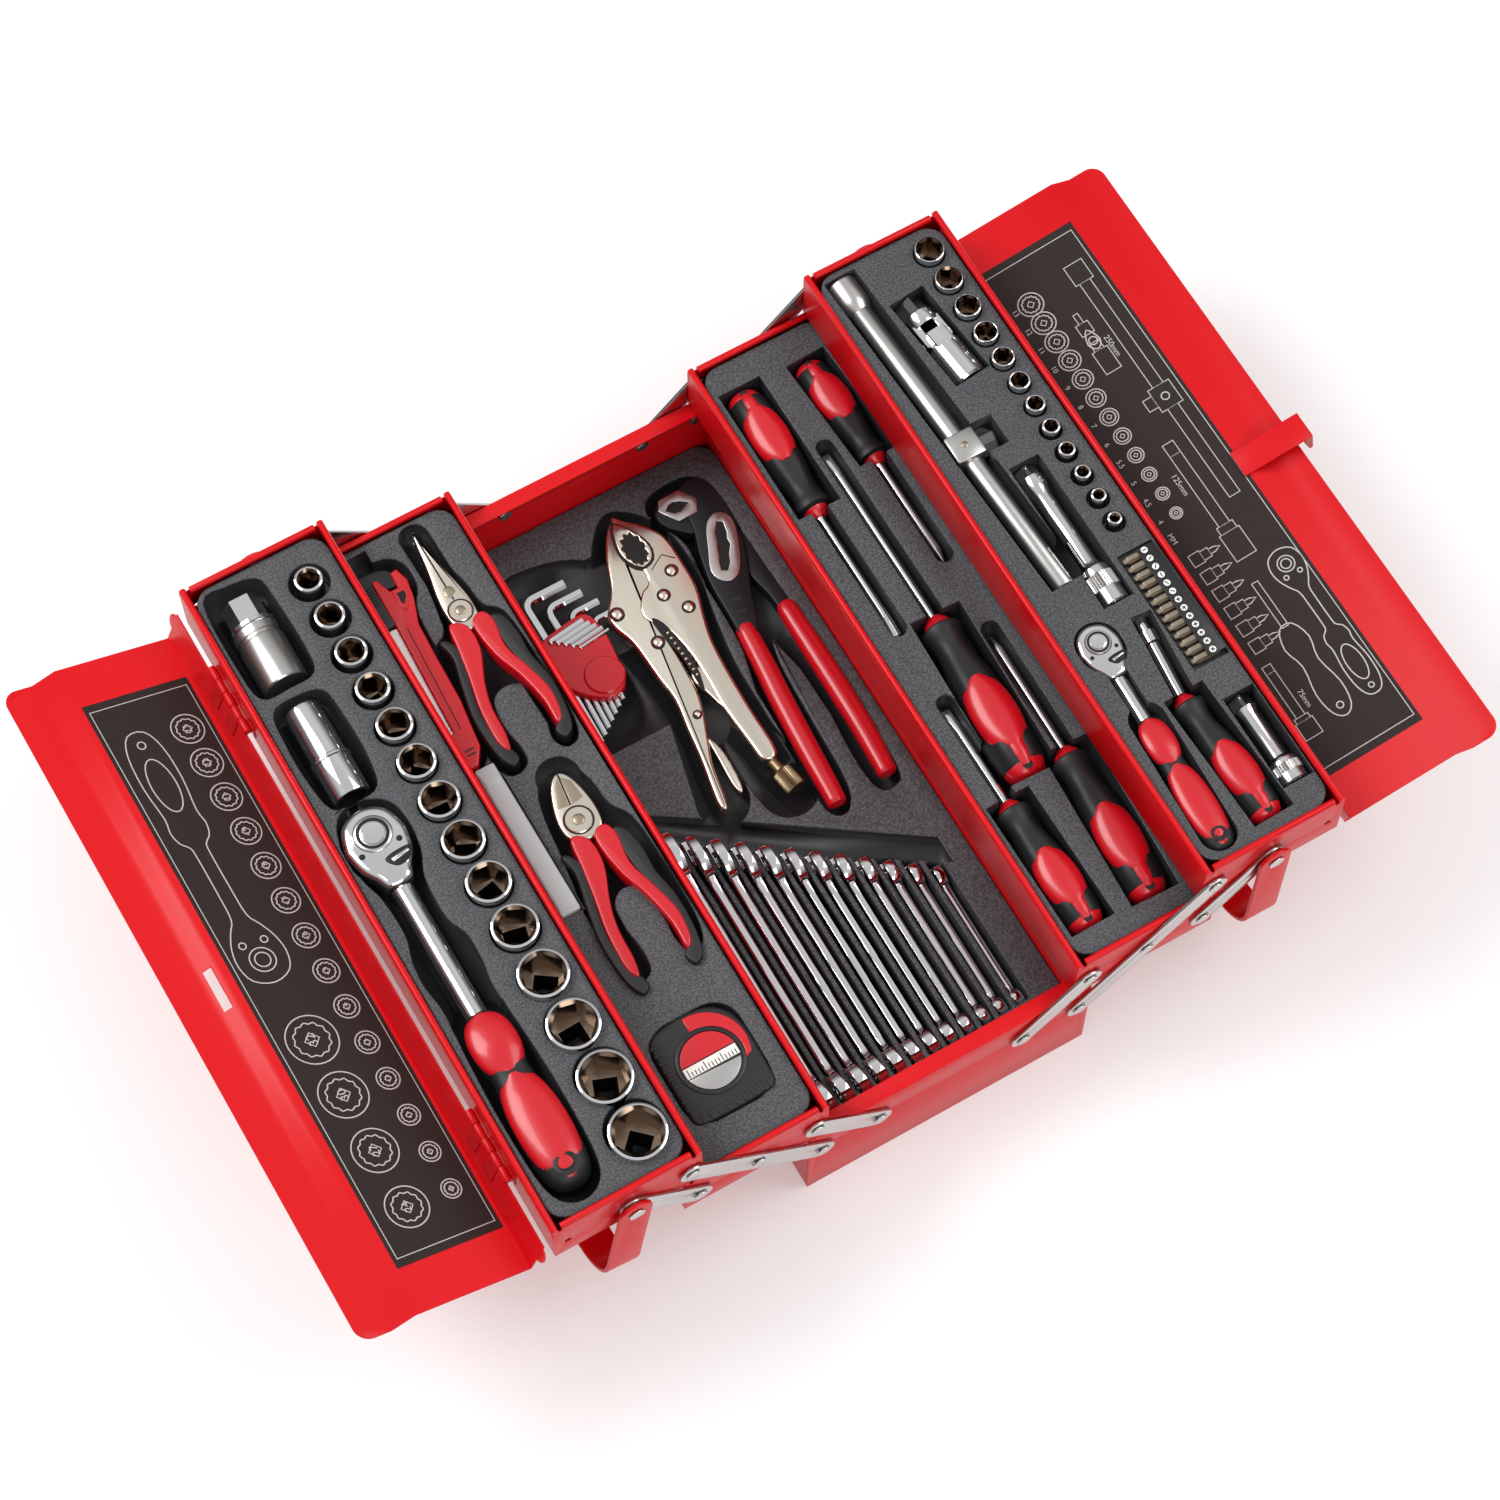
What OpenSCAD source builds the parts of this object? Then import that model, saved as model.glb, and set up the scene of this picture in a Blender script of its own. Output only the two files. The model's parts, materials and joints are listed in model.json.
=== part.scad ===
// Five-tray cantilever toolbox with a fitted tool set, drawn open at rest.
// Millimetres. X across (trays slide out to both sides), Y along the box, Z up.
// The origin is the centre of the underside of the base.

/* [Box] */
// Length over the end panels
box_length = 430; // [380:1:520]
// Width of the base over its long walls
base_width = 181.6; // [150:0.1:240]
// Height of the base to its rim
base_height = 79.4; // [60:0.1:110]
// Depth of each sliding tray, floor to rim
tray_depth = 39.5; // [30:0.1:60]
// Gap between the two halves when closed
centre_gap = 1.2; // [0.6:0.1:3]
// Sheet steel thickness
sheet = 1; // [0.7:0.1:1.5]
// Diameter of the rolled bead on each rim
bead = 4; // [3:0.1:6]
// Corner length left free of the end bead
bead_stop = 6; // [3:0.5:12]
// Width of the flat flange on the base ends
end_flange = 9.5; // [6:0.5:14]
// Diameter of the dimple in each top end panel
dimple = 4; // [2:0.5:6]
// Distance of the dimple from the outer edge
dimple_side = 8.5; // [6:0.5:14]
// Distance of the dimple below the rim
dimple_drop = 24; // [12:0.5:30]
// Setback of the tray walls inside the base walls
wall_setback = 0.2; // [0:0.1:2]
// Clearance between stacked rims and floors
stack_gap = 0.4; // [0.3:0.1:1]

/* [Linkage] */
// Sideways reach of one link with the box open
open_reach = 40.4; // [30:0.1:60]
// Sideways reach of one link, other way, with the box closed
closed_reach = 37.4; // [30:0.1:60]
// Spacing of the paired pivots
pivot_spacing = 36.4; // [25:0.1:50]
// Depth of every pivot below its rim
pivot_drop = 21.2; // [12:0.1:30]
// Distance of the outer base pivot inside the base wall
pivot_inset = 8.2; // [7:0.1:20]
// Width of each link strip
link_width = 15; // [10:0.5:20]
// Thickness of each link strip
link_thick = 1.8; // [1:0.1:3]
// Diameter of the rivet shanks
rivet = 5; // [4:0.1:8]
// Diameter of the rivet heads
rivet_head = 8.4; // [6:0.1:12]
// Thickness of the rivet heads
head_thick = 0.8; // [0.6:0.1:2]
// Diameter of the backing washer behind each handle pivot
backing = 26; // [10:0.5:28]
// Thickness of the backing washer
backing_thick = 2; // [0.8:0.1:2.4]
// Radial running clearance of links and handles on rivets
run = 0.06; // [0.02:0.01:0.15]
// Sideways clearance between moving flat parts
side_gap = 0.4; // [0.3:0.05:1]

/* [Lids] */
// Height of the hinge axis below the tray rim
hinge_drop = 19.2; // [10:0.1:25]
// Distance of the hinge axis outside the tray wall
hinge_out = 3.6; // [3:0.1:6]
// Height of the lid skirt over the hinge axis
skirt = 27; // [20:0.5:40]
// Width of the flat panel from skirt to step
lid_panel = 72; // [50:0.5:100]
// Run of the step up to the centre band
step_run = 12; // [6:0.5:20]
// Rise of the step on the right lid
step_rise = 7; // [4:0.5:12]
// Extra rise on the left lid, which closes on top
lap_lift = 2; // [1.4:0.1:4]
// Lap of each lid past the centre line
lid_lap = 9.1; // [4:0.1:14]
// Length of each lid
lid_length = 426.4; // [370:0.1:516]
// Corner radius of the free edge
lid_corner = 9; // [3:0.5:20]
// Opening angle of the left lid
left_open = 158; // [120:1:180]
// Opening angle of the right lid
right_open = 171; // [120:1:180]
// Length of the rounded ears on the skirt
ear_out = 4.6; // [2:0.1:5]
// Height of the rounded ears
ear_high = 11; // [6:0.5:16]
// Length of each hinge
hinge_length = 45.6; // [30:0.1:80]
// Distance of each hinge centre from the box centre
hinge_at = 150; // [100:1:180]
// Outer diameter of the hinge knuckles
knuckle = 4.8; // [4:0.1:8]
// Diameter of the hinge pin
hinge_pin = 2.4; // [1.5:0.1:4]
// Knuckles in each hinge
knuckles = 5; // [3:2:7]
// End gap between knuckles
knuckle_gap = 0.35; // [0.3:0.05:1]
// Thickness of the hinge leaves
leaf = 0.8; // [0.6:0.1:1.5]
// Height of the hinge leaves
leaf_high = 11; // [6:0.5:16]
// Sticker margin from the skirt bend
sticker_margin = 2.5; // [1:0.5:8]
// Width of each sticker
sticker_width = 66; // [40:1:90]
// Length of each sticker
sticker_length = 372; // [300:1:400]
// Thickness of each sticker
sticker_thick = 0.3; // [0.2:0.1:0.5]

/* [Hasp] */
// Width of the hasp strap
hasp_width = 17; // [10:0.5:24]
// Thickness of the hasp strap
hasp_thick = 1.5; // [1:0.1:3]
// Length of the hasp strap seated on the flat panel of the right lid
hasp_seat = 6.2; // [4:0.1:20]
// Reach of the bend past the right lid edge
hasp_reach = 8; // [6:0.1:12]
// Height of the upright tab
hasp_tab = 23; // [14:0.5:30]
// Diameter of the padlock hole
padlock_hole = 7; // [5:0.1:10]
// Distance of the padlock hole from the tab end
padlock_edge = 7; // [5:0.1:10]
// Clearance of the lid slot round the tab
slot_gap = 1.4; // [0.5:0.1:4]
// Extra length of the lid slot
slot_extra = 9; // [2:0.5:14]

/* [Handles] */
// Distance from the pivot to the outside of the grip
handle_arm = 99; // [80:1:130]
// Width of the handle strap
handle_width = 20; // [14:0.5:28]
// Thickness of the handle strap
handle_thick = 2.5; // [2:0.1:4]
// Outside radius of the bends
handle_bend = 30; // [15:1:45]
// Outward tilt of the left handle at rest
left_tilt = 8; // [0:1:12]

/* [Inserts] */
// Depth of the tray insert surface below the rim
insert_drop = 4; // [2:0.5:10]
// Corner radius of the inserts
insert_corner = 12; // [4:0.5:20]
// Clearance of the inserts inside the trays
insert_gap = 0.4; // [0.2:0.1:1]
// Height of the base insert surface
base_insert_top = 27; // [20:0.5:60]
// Thickness of the insert under the deepest pocket
insert_floor = 1.5; // [1:0.1:4]
// Clearance of the pockets round the tools
pocket_gap = 0.8; // [0.4:0.1:3]

/* [Half inch drive tools] */
// Metric sizes of the large sockets
big_sizes = [10, 11, 12, 13, 14, 15, 16, 17, 18, 19, 20, 21, 22, 24];
// Length of the large sockets
big_socket_long = 38; // [30:0.5:45]
// Smallest diameter of the drive end
big_drive = 22; // [20:0.1:26]
// Wall allowance added to the size
big_wall = 5.1; // [4:0.1:8]
// Growth of the diameter with the size
big_growth = 1.14; // [1:0.01:1.4]
// Gap between neighbouring sockets
big_gap = 3.5; // [2:0.1:8]
// Row offset from the tray centre
big_row = 21; // [15:0.5:26]
// First socket position along the tray
big_first = 185; // [150:1:195]
// Half inch square drive
drive_half = 12.7; // [12:0.1:13]
// Diameter of the plug socket
plug_dia = 27; // [22:0.5:32]
// Length of the plug socket body
plug_long = 40; // [30:1:60]
// Width of the plug socket hexagon over its corners
plug_hex = 23; // [16:0.5:27]
// Length of the plug socket hexagon
plug_hex_long = 19; // [10:1:30]
// Diameter of the deep socket
deep_dia = 22; // [18:0.5:30]
// Diameter of the deep socket collar
deep_collar = 25; // [20:0.5:32]
// Length of the deep socket
deep_long = 62; // [50:1:80]
// Diameter of the ratchet head
ratchet_head = 36; // [28:0.5:42]
// Thickness of the ratchet head
ratchet_thick = 22; // [16:0.5:30]
// Diameter of the ratchet shaft
ratchet_shaft = 13; // [10:0.5:16]
// Width of the ratchet grip
ratchet_grip = 30; // [24:0.5:34]
// Thickness of the ratchet grip
ratchet_grip_thick = 24; // [18:0.5:30]

/* [Pliers and cutters] */
// Thickness of the plier jaws
jaw_thick = 9; // [6:0.5:14]
// Thickness of the dipped grips
grip_thick = 14; // [10:0.5:20]
// Width of the dipped grips
grip_wide = 12; // [8:0.5:16]
// Waist of the plier arms between their round ends
arm_waist = 0.4; // [0.2:0.1:1]
// Height step from each plier arm to the one it crosses
arm_step = 0.5; // [0.3:0.1:1.5]
// How much wider the dipped grips are than the bare arms
grip_wall = 3; // [1:0.5:5]
// Diameter of the joint boss
joint_boss = 19; // [14:0.5:26]
// Body width of the snap-off knife
knife_wide = 18; // [12:0.5:24]
// Body thickness of the snap-off knife
knife_thick = 12; // [8:0.5:18]
// Length of the snap-off knife
knife_long = 140; // [120:1:170]
// Width of the blade case
case_wide = 12; // [8:0.5:18]
// Length of the blade case
case_long = 101; // [90:1:120]
// Length of the tape measure
tape_long = 60; // [50:1:70]
// Width of the tape measure
tape_wide = 52; // [44:1:60]
// Thickness of the tape measure
tape_thick = 30; // [24:0.5:33]
// Corner radius of the tape measure
tape_round = 16; // [6:1:22]

/* [Base tools] */
// Ring centre distance from the near end of the first spanner
spanner_near = 182; // [150:1:195]
// Number of combination spanners
spanner_count = 12; // [6:1:14]
// Spacing of the spanners
spanner_pitch = 11.6; // [9:0.1:14]
// Centre distance of the longest spanner
spanner_long = 168; // [150:1:180]
// Centre distance of the shortest spanner
spanner_short = 85; // [70:1:110]
// Largest open end diameter
spanner_jaw = 34; // [26:0.5:40]
// Smallest open end diameter
spanner_jaw_small = 15; // [12:0.5:20]
// Thickness of the spanner shanks
spanner_thick = 5; // [3:0.1:8]
// Depth of the spanner groove
spanner_groove = 17; // [8:0.5:22]
// Diameter of the large hex keys
key_dia = 6; // [4:0.5:10]
// Thickness of the hex key holder
key_holder = 10; // [6:0.5:16]
// Plate thickness of the locking pliers
lock_thick = 12; // [8:0.5:18]
// Diameter of the adjusting screw
lock_screw = 12; // [8:0.5:16]

/* [Screwdrivers] */
// Diameter of the standard handles
driver_handle = 26; // [20:0.5:30]
// Diameter of the large handle
driver_handle_big = 30; // [24:0.5:34]
// Diameter of the blades
driver_blade = 6; // [4:0.5:8]

/* [Quarter inch drive tools] */
// Metric sizes of the small sockets
small_sizes = [13, 12, 11, 10, 9, 8, 7, 6, 5.5, 5, 4.5, 4];
// Length of the small sockets
small_socket_long = 25; // [20:0.5:30]
// Smallest diameter of the small drive end
small_drive = 12; // [11:0.1:14]
// Wall allowance added to the small size
small_wall = 4.5; // [3:0.1:6]
// Gap between neighbouring small sockets
small_gap = 4.9; // [3:0.1:8]
// Row offset from the tray centre
small_row = 27; // [20:0.5:30]
// First small socket position along the tray
small_first = 194; // [150:1:198]
// Diameter of the sliding bar
bar_dia = 13; // [10:0.5:16]
// Diameter of the bar head
bar_head = 19; // [16:0.5:24]
// Width of the bar slider
slider_wide = 19; // [16:0.5:24]
// Diameter of the extension sockets
ext_head = 18; // [14:0.5:22]
// Diameter of the extension shafts
ext_shaft = 11; // [8:0.5:14]
// Diameter of the universal joint
uj_dia = 22; // [18:0.5:26]
// Number of screwdriver bits
bit_count = 13; // [6:1:16]
// Width of a bit over its corners
bit_dia = 5; // [4:0.1:8]
// Length of a bit
bit_long = 18; // [14:0.5:30]
// Spacing of the bits
bit_pitch = 5.9; // [5:0.1:9]
// Diameter of the small ratchet head
small_ratchet = 25; // [20:0.5:30]
// Width of the small ratchet grip
small_grip = 20; // [16:0.5:24]
// Diameter of the spinner handle
spinner_grip = 24; // [18:0.5:28]
// Diameter of the spinner shaft
spinner_shaft = 8; // [6:0.5:10]

/* [Tool positions] */
// Plug and deep socket axis across the tray
plug_x = -18; // [-25:0.5:-10]
// Plug and deep socket axis height
plug_z = -9; // [-14:0.5:-4]
// Near end of the plug socket
plug_y = 138; // [100:1:150]
// Near end of the deep socket
deep_y = 60; // [40:1:80]
// Ratchet line across the tray
ratchet_x = -20; // [-24:0.5:-14]
// Ratchet head along the tray
ratchet_y = 31; // [0:1:40]
// Underside of the ratchet head
ratchet_low = -18; // [-26:1:-10]
// Underside of the pliers
plier_low = -10; // [-16:0.5:-6]
// Long nose pliers: tip, joint, left end, right end
nose_at = [[14, 200], [15, 147], [-8, 57], [31, 55]];
// Side cutters: tip, joint, left end, right end
cutter_at = [[13, 28], [10, -1], [-6, -88], [30, -86]];
// Knife line across the tray
knife_x = -24; // [-30:0.5:0]
// Near end of the knife
knife_y = 66; // [40:1:80]
// Underside of the knife
knife_low = -9; // [-16:0.5:-4]
// Blade case line across the tray
case_x = -20; // [-32:0.5:-14]
// Near end of the blade case
case_y = -47; // [-60:1:-20]
// Tape measure across the tray
tape_x = 3; // [-8:0.5:10]
// Tape measure along the tray
tape_y = -160; // [-175:1:-130]
// Underside of the tape measure
tape_low = -27; // [-32:0.5:-10]
// First hex key bend across the base
key_x = -58; // [-70:1:-40]
// First hex key bend along the base
key_y = 173; // [140:1:190]
// Step from key to key
key_step = 10; // [7:0.5:14]
// Short leg of the largest key
key_short = 27; // [20:1:40]
// Height of the key axes
key_z = -3; // [-10:0.5:2]
// Key holder across the base
holder_x = -42; // [-60:1:-20]
// Far edge of the key holder
holder_y = 142; // [120:1:160]
// Key holder disc along the base
disc_y = 102; // [80:1:120]
// Underside of the locking pliers
lock_low = -8; // [-14:0.5:-4]
// Locking pliers: jaw, body, handle, screw end, lever end
lock_at = [[12, 156], [2, 110], [12, 20], [17, -9], [-24, 2]];
// Pump pliers: jaw, slot, joint, left end, right end
pump_at = [[52, 178], [56, 150], [56, 124], [37, -32], [70, -30]];
// Height of the screwdriver axes
driver_z = -11; // [-16:0.5:-6]
// Seat of the small sockets
small_seat = -20; // [-26:0.5:-10]
// Sliding bar: head, far end
tee_at = [[-26, 206], [-16, -26]];
// Height of the bar axes
bar_z = -8; // [-14:0.5:-4]
// Universal joint: square end, socket end
joint_at = [[1, 176], [7, 113]];
// Height of the universal joint axis
joint_z = -8; // [-14:0.5:-4]
// Long extension: square end, socket end
ext_at = [[3, 50], [3, -50]];
// Short extension: square end, socket end
short_at = [[30, -131], [30, -191]];
// Bit row across the tray
bit_x = 17; // [10:0.5:22]
// First bit along the tray
bit_y = -32; // [-40:1:-20]
// Height of the bit axes
bit_z = 0; // [-6:0.5:2]
// Small ratchet: head, grip front, grip end
qr_at = [[-21, -67], [-22, -120], [-25, -196]];
// Underside of the small ratchet
qr_low = -13; // [-18:0.5:-8]
// Spinner: shaft end, grip front, grip end
spin_at = [[9, -64], [4, -116], [7, -202]];

/* [Hidden] */
$fn = 48;

red = [0.85, 0.08, 0.10];
steel = [0.75, 0.74, 0.72];
chrome = [0.85, 0.85, 0.87];
black = [0.10, 0.10, 0.11];
charcoal = [0.22, 0.22, 0.24];
label = [0.20, 0.16, 0.16];

over = 1;
rise = tray_depth + stack_gap;
link_long = sqrt(open_reach * open_reach + rise * rise);
half = box_length / 2;
base_half = base_width / 2;
tray_width = base_half - centre_gap / 2 - wall_setback;
travel = open_reach + closed_reach;
pivot_x = base_half - pivot_inset;
mid_rim = base_height + rise;
top_rim = base_height + 2 * rise;
mid_x = centre_gap / 2 + travel;
top_x = centre_gap / 2 + 2 * travel;
mid_cx = mid_x + tray_width / 2;
top_cx = top_x + tray_width / 2;
middle_pivots = [pivot_x + open_reach - pivot_spacing, pivot_x + open_reach,
                 pivot_x + open_reach + pivot_spacing];
top_pivots = [pivot_x + 2 * open_reach, pivot_x + 2 * open_reach + pivot_spacing];
link_y = half + side_gap;
head_y = link_y + link_thick + side_gap;
arm_y = head_y + head_thick + side_gap - 0.1;
cap_y = arm_y + handle_thick + side_gap - 0.1;
hinge_x = top_x + tray_width + hinge_out;
hinge_z = top_rim - hinge_drop;
closed_hinge = centre_gap / 2 + tray_width + hinge_out;
lid_reach = closed_hinge + lid_lap;
hasp_length = lid_reach + hasp_reach - lid_panel + hasp_seat;
insert_high = tray_depth - sheet - insert_drop;
sticker_low = skirt - sheet - sticker_thick;

// ---------- plain shapes ----------
module at_ends() {
    for (s = [0, 1])
        mirror([0, s, 0])
            children();
}

module side(left) {
    if (left)
        mirror([1, 0, 0])
            children();
    else
        children();
}

module across_y(x, z, y0, long, dia) {
    translate([x, y0, z])
        rotate([-90, 0, 0])
            cylinder(d = dia, h = long);
}

// A flat bar with round ends between two plan points; waist slims it between the ends.
module bar(a, b, wide, z, high, waist = 0) {
    run_x = b[0] - a[0];
    run_y = b[1] - a[1];
    long = sqrt(run_x * run_x + run_y * run_y);
    translate([a[0], a[1], z])
        rotate([0, 0, atan2(run_y, run_x)]) {
            translate([0, (waist - wide) / 2, 0])
                cube([long, wide - waist, high]);
            cylinder(d = wide, h = high);
            translate([long, 0, 0])
                cylinder(d = wide, h = high);
        }
}

// A round rod between two plan points at one height.
module rod(a, b, dia, z, sides = $fn) {
    run_x = b[0] - a[0];
    run_y = b[1] - a[1];
    long = sqrt(run_x * run_x + run_y * run_y);
    translate([a[0], a[1], z])
        rotate([0, 90, atan2(run_y, run_x)])
            cylinder(d = dia, h = long, $fn = sides);
}

module rounded(x, y, r) {
    square([x - 2 * r, y], center = true);
    square([x, y - 2 * r], center = true);
    for (i = [-1, 1])
        for (j = [-1, 1])
            translate([i * (x / 2 - r), j * (y / 2 - r)])
                circle(r = r);
}

// ---------- sheet metal ----------
// A folded pan with a floor, two long walls and a rolled bead on each.
module pan(x0, wide, z0, deep) {
    translate([0, half - sheet, 0])
        rotate([90, 0, 0])
            linear_extrude(box_length - 2 * sheet) {
                translate([x0, z0])
                    square([wide, sheet]);
                for (x = [x0, x0 + wide - sheet])
                    translate([x, z0])
                        square([sheet, deep - bead / 2]);
            }
    for (x = [x0 + bead / 2, x0 + wide - bead / 2])
        across_y(x, z0 + deep - bead / 2, -half, box_length, bead);
}

module tray_end(x0, wide, z0, deep, holes, marked) {
    difference() {
        union() {
            translate([x0, half - sheet, z0])
                cube([wide, sheet, deep - bead - 0.1]);
            translate([x0 + bead_stop, half - sheet, z0 + deep - bead - 0.2])
                cube([wide - 2 * bead_stop, sheet, bead / 2 + 0.2]);
            translate([x0 + bead_stop, half - bead / 2, z0 + deep - bead / 2])
                rotate([0, 90, 0])
                    cylinder(d = bead, h = wide - 2 * bead_stop);
        }
        for (x = holes)
            across_y(x, z0 + deep - pivot_drop, half - bead, 2 * bead, rivet);
        if (marked)
            across_y(x0 + wide - dimple_side, z0 + deep - dimple_drop, half - bead, 2 * bead, dimple);
    }
}

module tray_ends(x0, rim, holes, marked) {
    at_ends()
        difference() {
            tray_end(x0, tray_width, rim - tray_depth, tray_depth, holes, marked);
            if (marked)
                across_y(holes[1], rim - pivot_drop, half - bead, 2 * bead, rivet + 2 * run);
        }
}

module base_end() {
    difference() {
        union() {
            translate([-base_half, half - sheet, 0])
                cube([base_width, sheet, base_height - bead - 0.1]);
            translate([-base_half + bead, half - sheet, 0])
                cube([base_width - 2 * bead, sheet, base_height]);
            translate([-base_half + bead + 0.3, half - end_flange, base_height - sheet])
                cube([base_width - 2 * bead - 0.6, end_flange, sheet]);
        }
        for (s = [-1, 1])
            for (x = [pivot_x, pivot_x - pivot_spacing])
                across_y(s * x, base_height - pivot_drop, half - bead, 2 * bead, rivet);
    }
}

// A rivet with a head inside the panel and a head outside the link.
module rivet_at(x, z) {
    across_y(x, z, half - sheet - head_thick, head_thick, rivet_head);
    across_y(x, z, half - sheet - head_thick, head_y + head_thick - half + sheet + head_thick, rivet);
    across_y(x, z, head_y, head_thick, rivet_head);
}

module link(x0, z0, steps) {
    angle = atan2(rise, open_reach);
    reach = steps * link_long;
    translate([x0, link_y + link_thick, z0])
        rotate([90, 0, 0])
            rotate([0, 0, angle])
                linear_extrude(link_thick)
                    difference() {
                        union() {
                            translate([0, -link_width / 2])
                                square([reach, link_width]);
                            for (i = [0, reach])
                                translate([i, 0])
                                    circle(d = link_width);
                        }
                        for (i = [0 : steps])
                            translate([i * link_long, 0])
                                circle(d = rivet + 2 * run);
                    }
}

// ---------- lids, drawn closed about the hinge axis ----------
module lid_profile(rise_up) {
    polygon([
        [sheet / 2, knuckle / 2 + knuckle_gap],
        [sheet / 2, skirt],
        [-lid_panel, skirt],
        [-lid_panel - step_run, skirt + rise_up],
        [-lid_reach, skirt + rise_up],
        [-lid_reach, skirt + rise_up - sheet],
        [-lid_panel - step_run, skirt + rise_up - sheet],
        [-lid_panel, skirt - sheet],
        [-sheet / 2, skirt - sheet],
        [-sheet / 2, knuckle / 2 + knuckle_gap]
    ]);
}

module lid_sheet(rise_up) {
    intersection() {
        translate([0, lid_length / 2, 0])
            rotate([90, 0, 0])
                linear_extrude(lid_length)
                    lid_profile(rise_up);
        translate([-lid_reach, 0, 0])
            linear_extrude(skirt + rise_up + over) {
                translate([lid_corner, -lid_length / 2])
                    square([lid_reach + sheet, lid_length]);
                translate([0, lid_corner - lid_length / 2])
                    square([lid_reach, lid_length - 2 * lid_corner]);
                for (s = [-1, 1])
                    translate([lid_corner, s * (lid_length / 2 - lid_corner)])
                        circle(r = lid_corner);
            }
    }
    // rounded ears at both ends of the skirt
    at_ends()
        translate([-sheet / 2, lid_length / 2 + ear_out - ear_high / 2, knuckle + ear_high / 2])
            rotate([0, 90, 0])
                cylinder(d = ear_high, h = sheet);
}

module lid_slot() {
    translate([lid_lap + hasp_reach - closed_hinge - slot_gap - hasp_thick,
               -(hasp_width + slot_extra) / 2, skirt - step_rise])
        cube([hasp_thick + 2 * slot_gap, hasp_width + slot_extra, 3 * step_rise]);
}

module place_lid(angle) {
    translate([hinge_x, 0, hinge_z])
        rotate([0, angle, 0])
            children();
}

function knuckle_long() = hinge_length / knuckles;

module lid_knuckles() {
    for (c = [-hinge_at, hinge_at])
        for (k = [1 : 2 : knuckles - 2])
            translate([0, c - hinge_length / 2 + k * knuckle_long(), 0])
                difference() {
                    union() {
                        across_y(0, 0, knuckle_gap / 2, knuckle_long() - knuckle_gap, knuckle);
                        translate([-sheet / 2 - leaf, knuckle_gap / 2, 0])
                            cube([leaf, knuckle_long() - knuckle_gap, leaf_high + knuckle]);
                    }
                    across_y(0, 0, 0, knuckle_long(), hinge_pin + 2 * run);
                }
}

module tray_hinges() {
    for (c = [-hinge_at, hinge_at])
        translate([hinge_x, c - hinge_length / 2, hinge_z]) {
            across_y(0, 0, 0, hinge_length, hinge_pin);
            translate([-hinge_out, 0, -leaf_high])
                cube([leaf, hinge_length, leaf_high]);
            for (k = [0 : 2 : knuckles - 1])
                translate([0, k * knuckle_long(), 0]) {
                    across_y(0, 0, knuckle_gap / 2, knuckle_long() - knuckle_gap, knuckle);
                    translate([-hinge_out, knuckle_gap / 2, -knuckle / 2])
                        cube([hinge_out, knuckle_long() - knuckle_gap, leaf]);
                }
        }
}

module sticker() {
    translate([-sticker_margin - sticker_width, -sticker_length / 2, sticker_low])
        cube([sticker_width, sticker_length, sticker_thick]);
}

module hasp_strap() {
    bend_x = -lid_reach - hasp_reach;
    difference() {
        union() {
            translate([bend_x, -hasp_width / 2, sticker_low - hasp_thick])
                cube([hasp_length, hasp_width, hasp_thick]);
            translate([bend_x, -hasp_width / 2, sticker_low - hasp_thick])
                cube([hasp_thick, hasp_width, hasp_tab - hasp_width / 2]);
            translate([bend_x, 0, sticker_low - hasp_thick + hasp_tab - hasp_width / 2])
                rotate([0, 90, 0])
                    cylinder(d = hasp_width, h = hasp_thick);
        }
        translate([bend_x - over, 0, sticker_low - hasp_thick + hasp_tab - padlock_edge])
            rotate([0, 90, 0])
                cylinder(d = padlock_hole, h = hasp_thick + 2 * over);
    }
}

// ---------- handles ----------
module handle_rivet(x, z) {
    backing_y = half - sheet - side_gap - backing_thick;
    across_y(x, z, backing_y, backing_thick, backing);
    across_y(x, z, backing_y, cap_y + head_thick - backing_y, rivet);
    across_y(x, z, head_y, head_thick, rivet_head);
    across_y(x, z, cap_y, head_thick, rivet_head + 1);
}

module handle_strap() {
    outer = 2 * (arm_y + handle_thick);
    inner = 2 * arm_y;
    high = 2 * (handle_arm + handle_width);
    difference() {
        intersection() {
            translate([-handle_width / 2, 0, 0])
                rotate([90, 0, 90])
                    linear_extrude(handle_width)
                        translate([0, handle_width])
                            difference() {
                                rounded(outer, high, handle_bend);
                                rounded(inner, high - 2 * handle_thick, handle_bend - handle_thick);
                            }
            translate([0, outer / 2 + over, 0])
                rotate([90, 0, 0])
                    linear_extrude(outer + 2 * over) {
                        translate([-handle_width / 2, -3 * handle_arm])
                            square([handle_width, 3 * handle_arm]);
                        circle(d = handle_width);
                    }
        }
        across_y(0, 0, -outer, 2 * outer, rivet + 2 * run);
    }
}

// ---------- inserts ----------
// Tools and pockets are drawn with z = 0 on the insert surface.
module in_tray(left, middle) {
    translate([(left ? -1 : 1) * (middle ? mid_cx : top_cx), 0, (middle ? mid_rim : top_rim) - insert_drop])
        children();
}

module in_base() {
    translate([0, 0, base_insert_top])
        children();
}

module insert_block(wide, long, high) {
    difference() {
        translate([0, 0, -high])
            linear_extrude(high)
                rounded(wide, long, insert_corner);
        children();
    }
}

module tray_insert() {
    insert_block(tray_width - 2 * bead - 2 * insert_gap, box_length - 2 * bead - 2 * insert_gap, insert_high)
        children();
}

// A pocket with the plan shape of a bar, open at the top.
module pocket(a, b, wide, deep) {
    bar(a, b, wide + 2 * pocket_gap, -deep, deep + over);
}

// A pocket with square ends along Y.
module tray_slot(x, y0, y1, wide, deep) {
    translate([x - wide / 2 - pocket_gap, y0 - pocket_gap, -deep])
        cube([wide + 2 * pocket_gap, y1 - y0 + 2 * pocket_gap, deep + over]);
}

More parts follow.
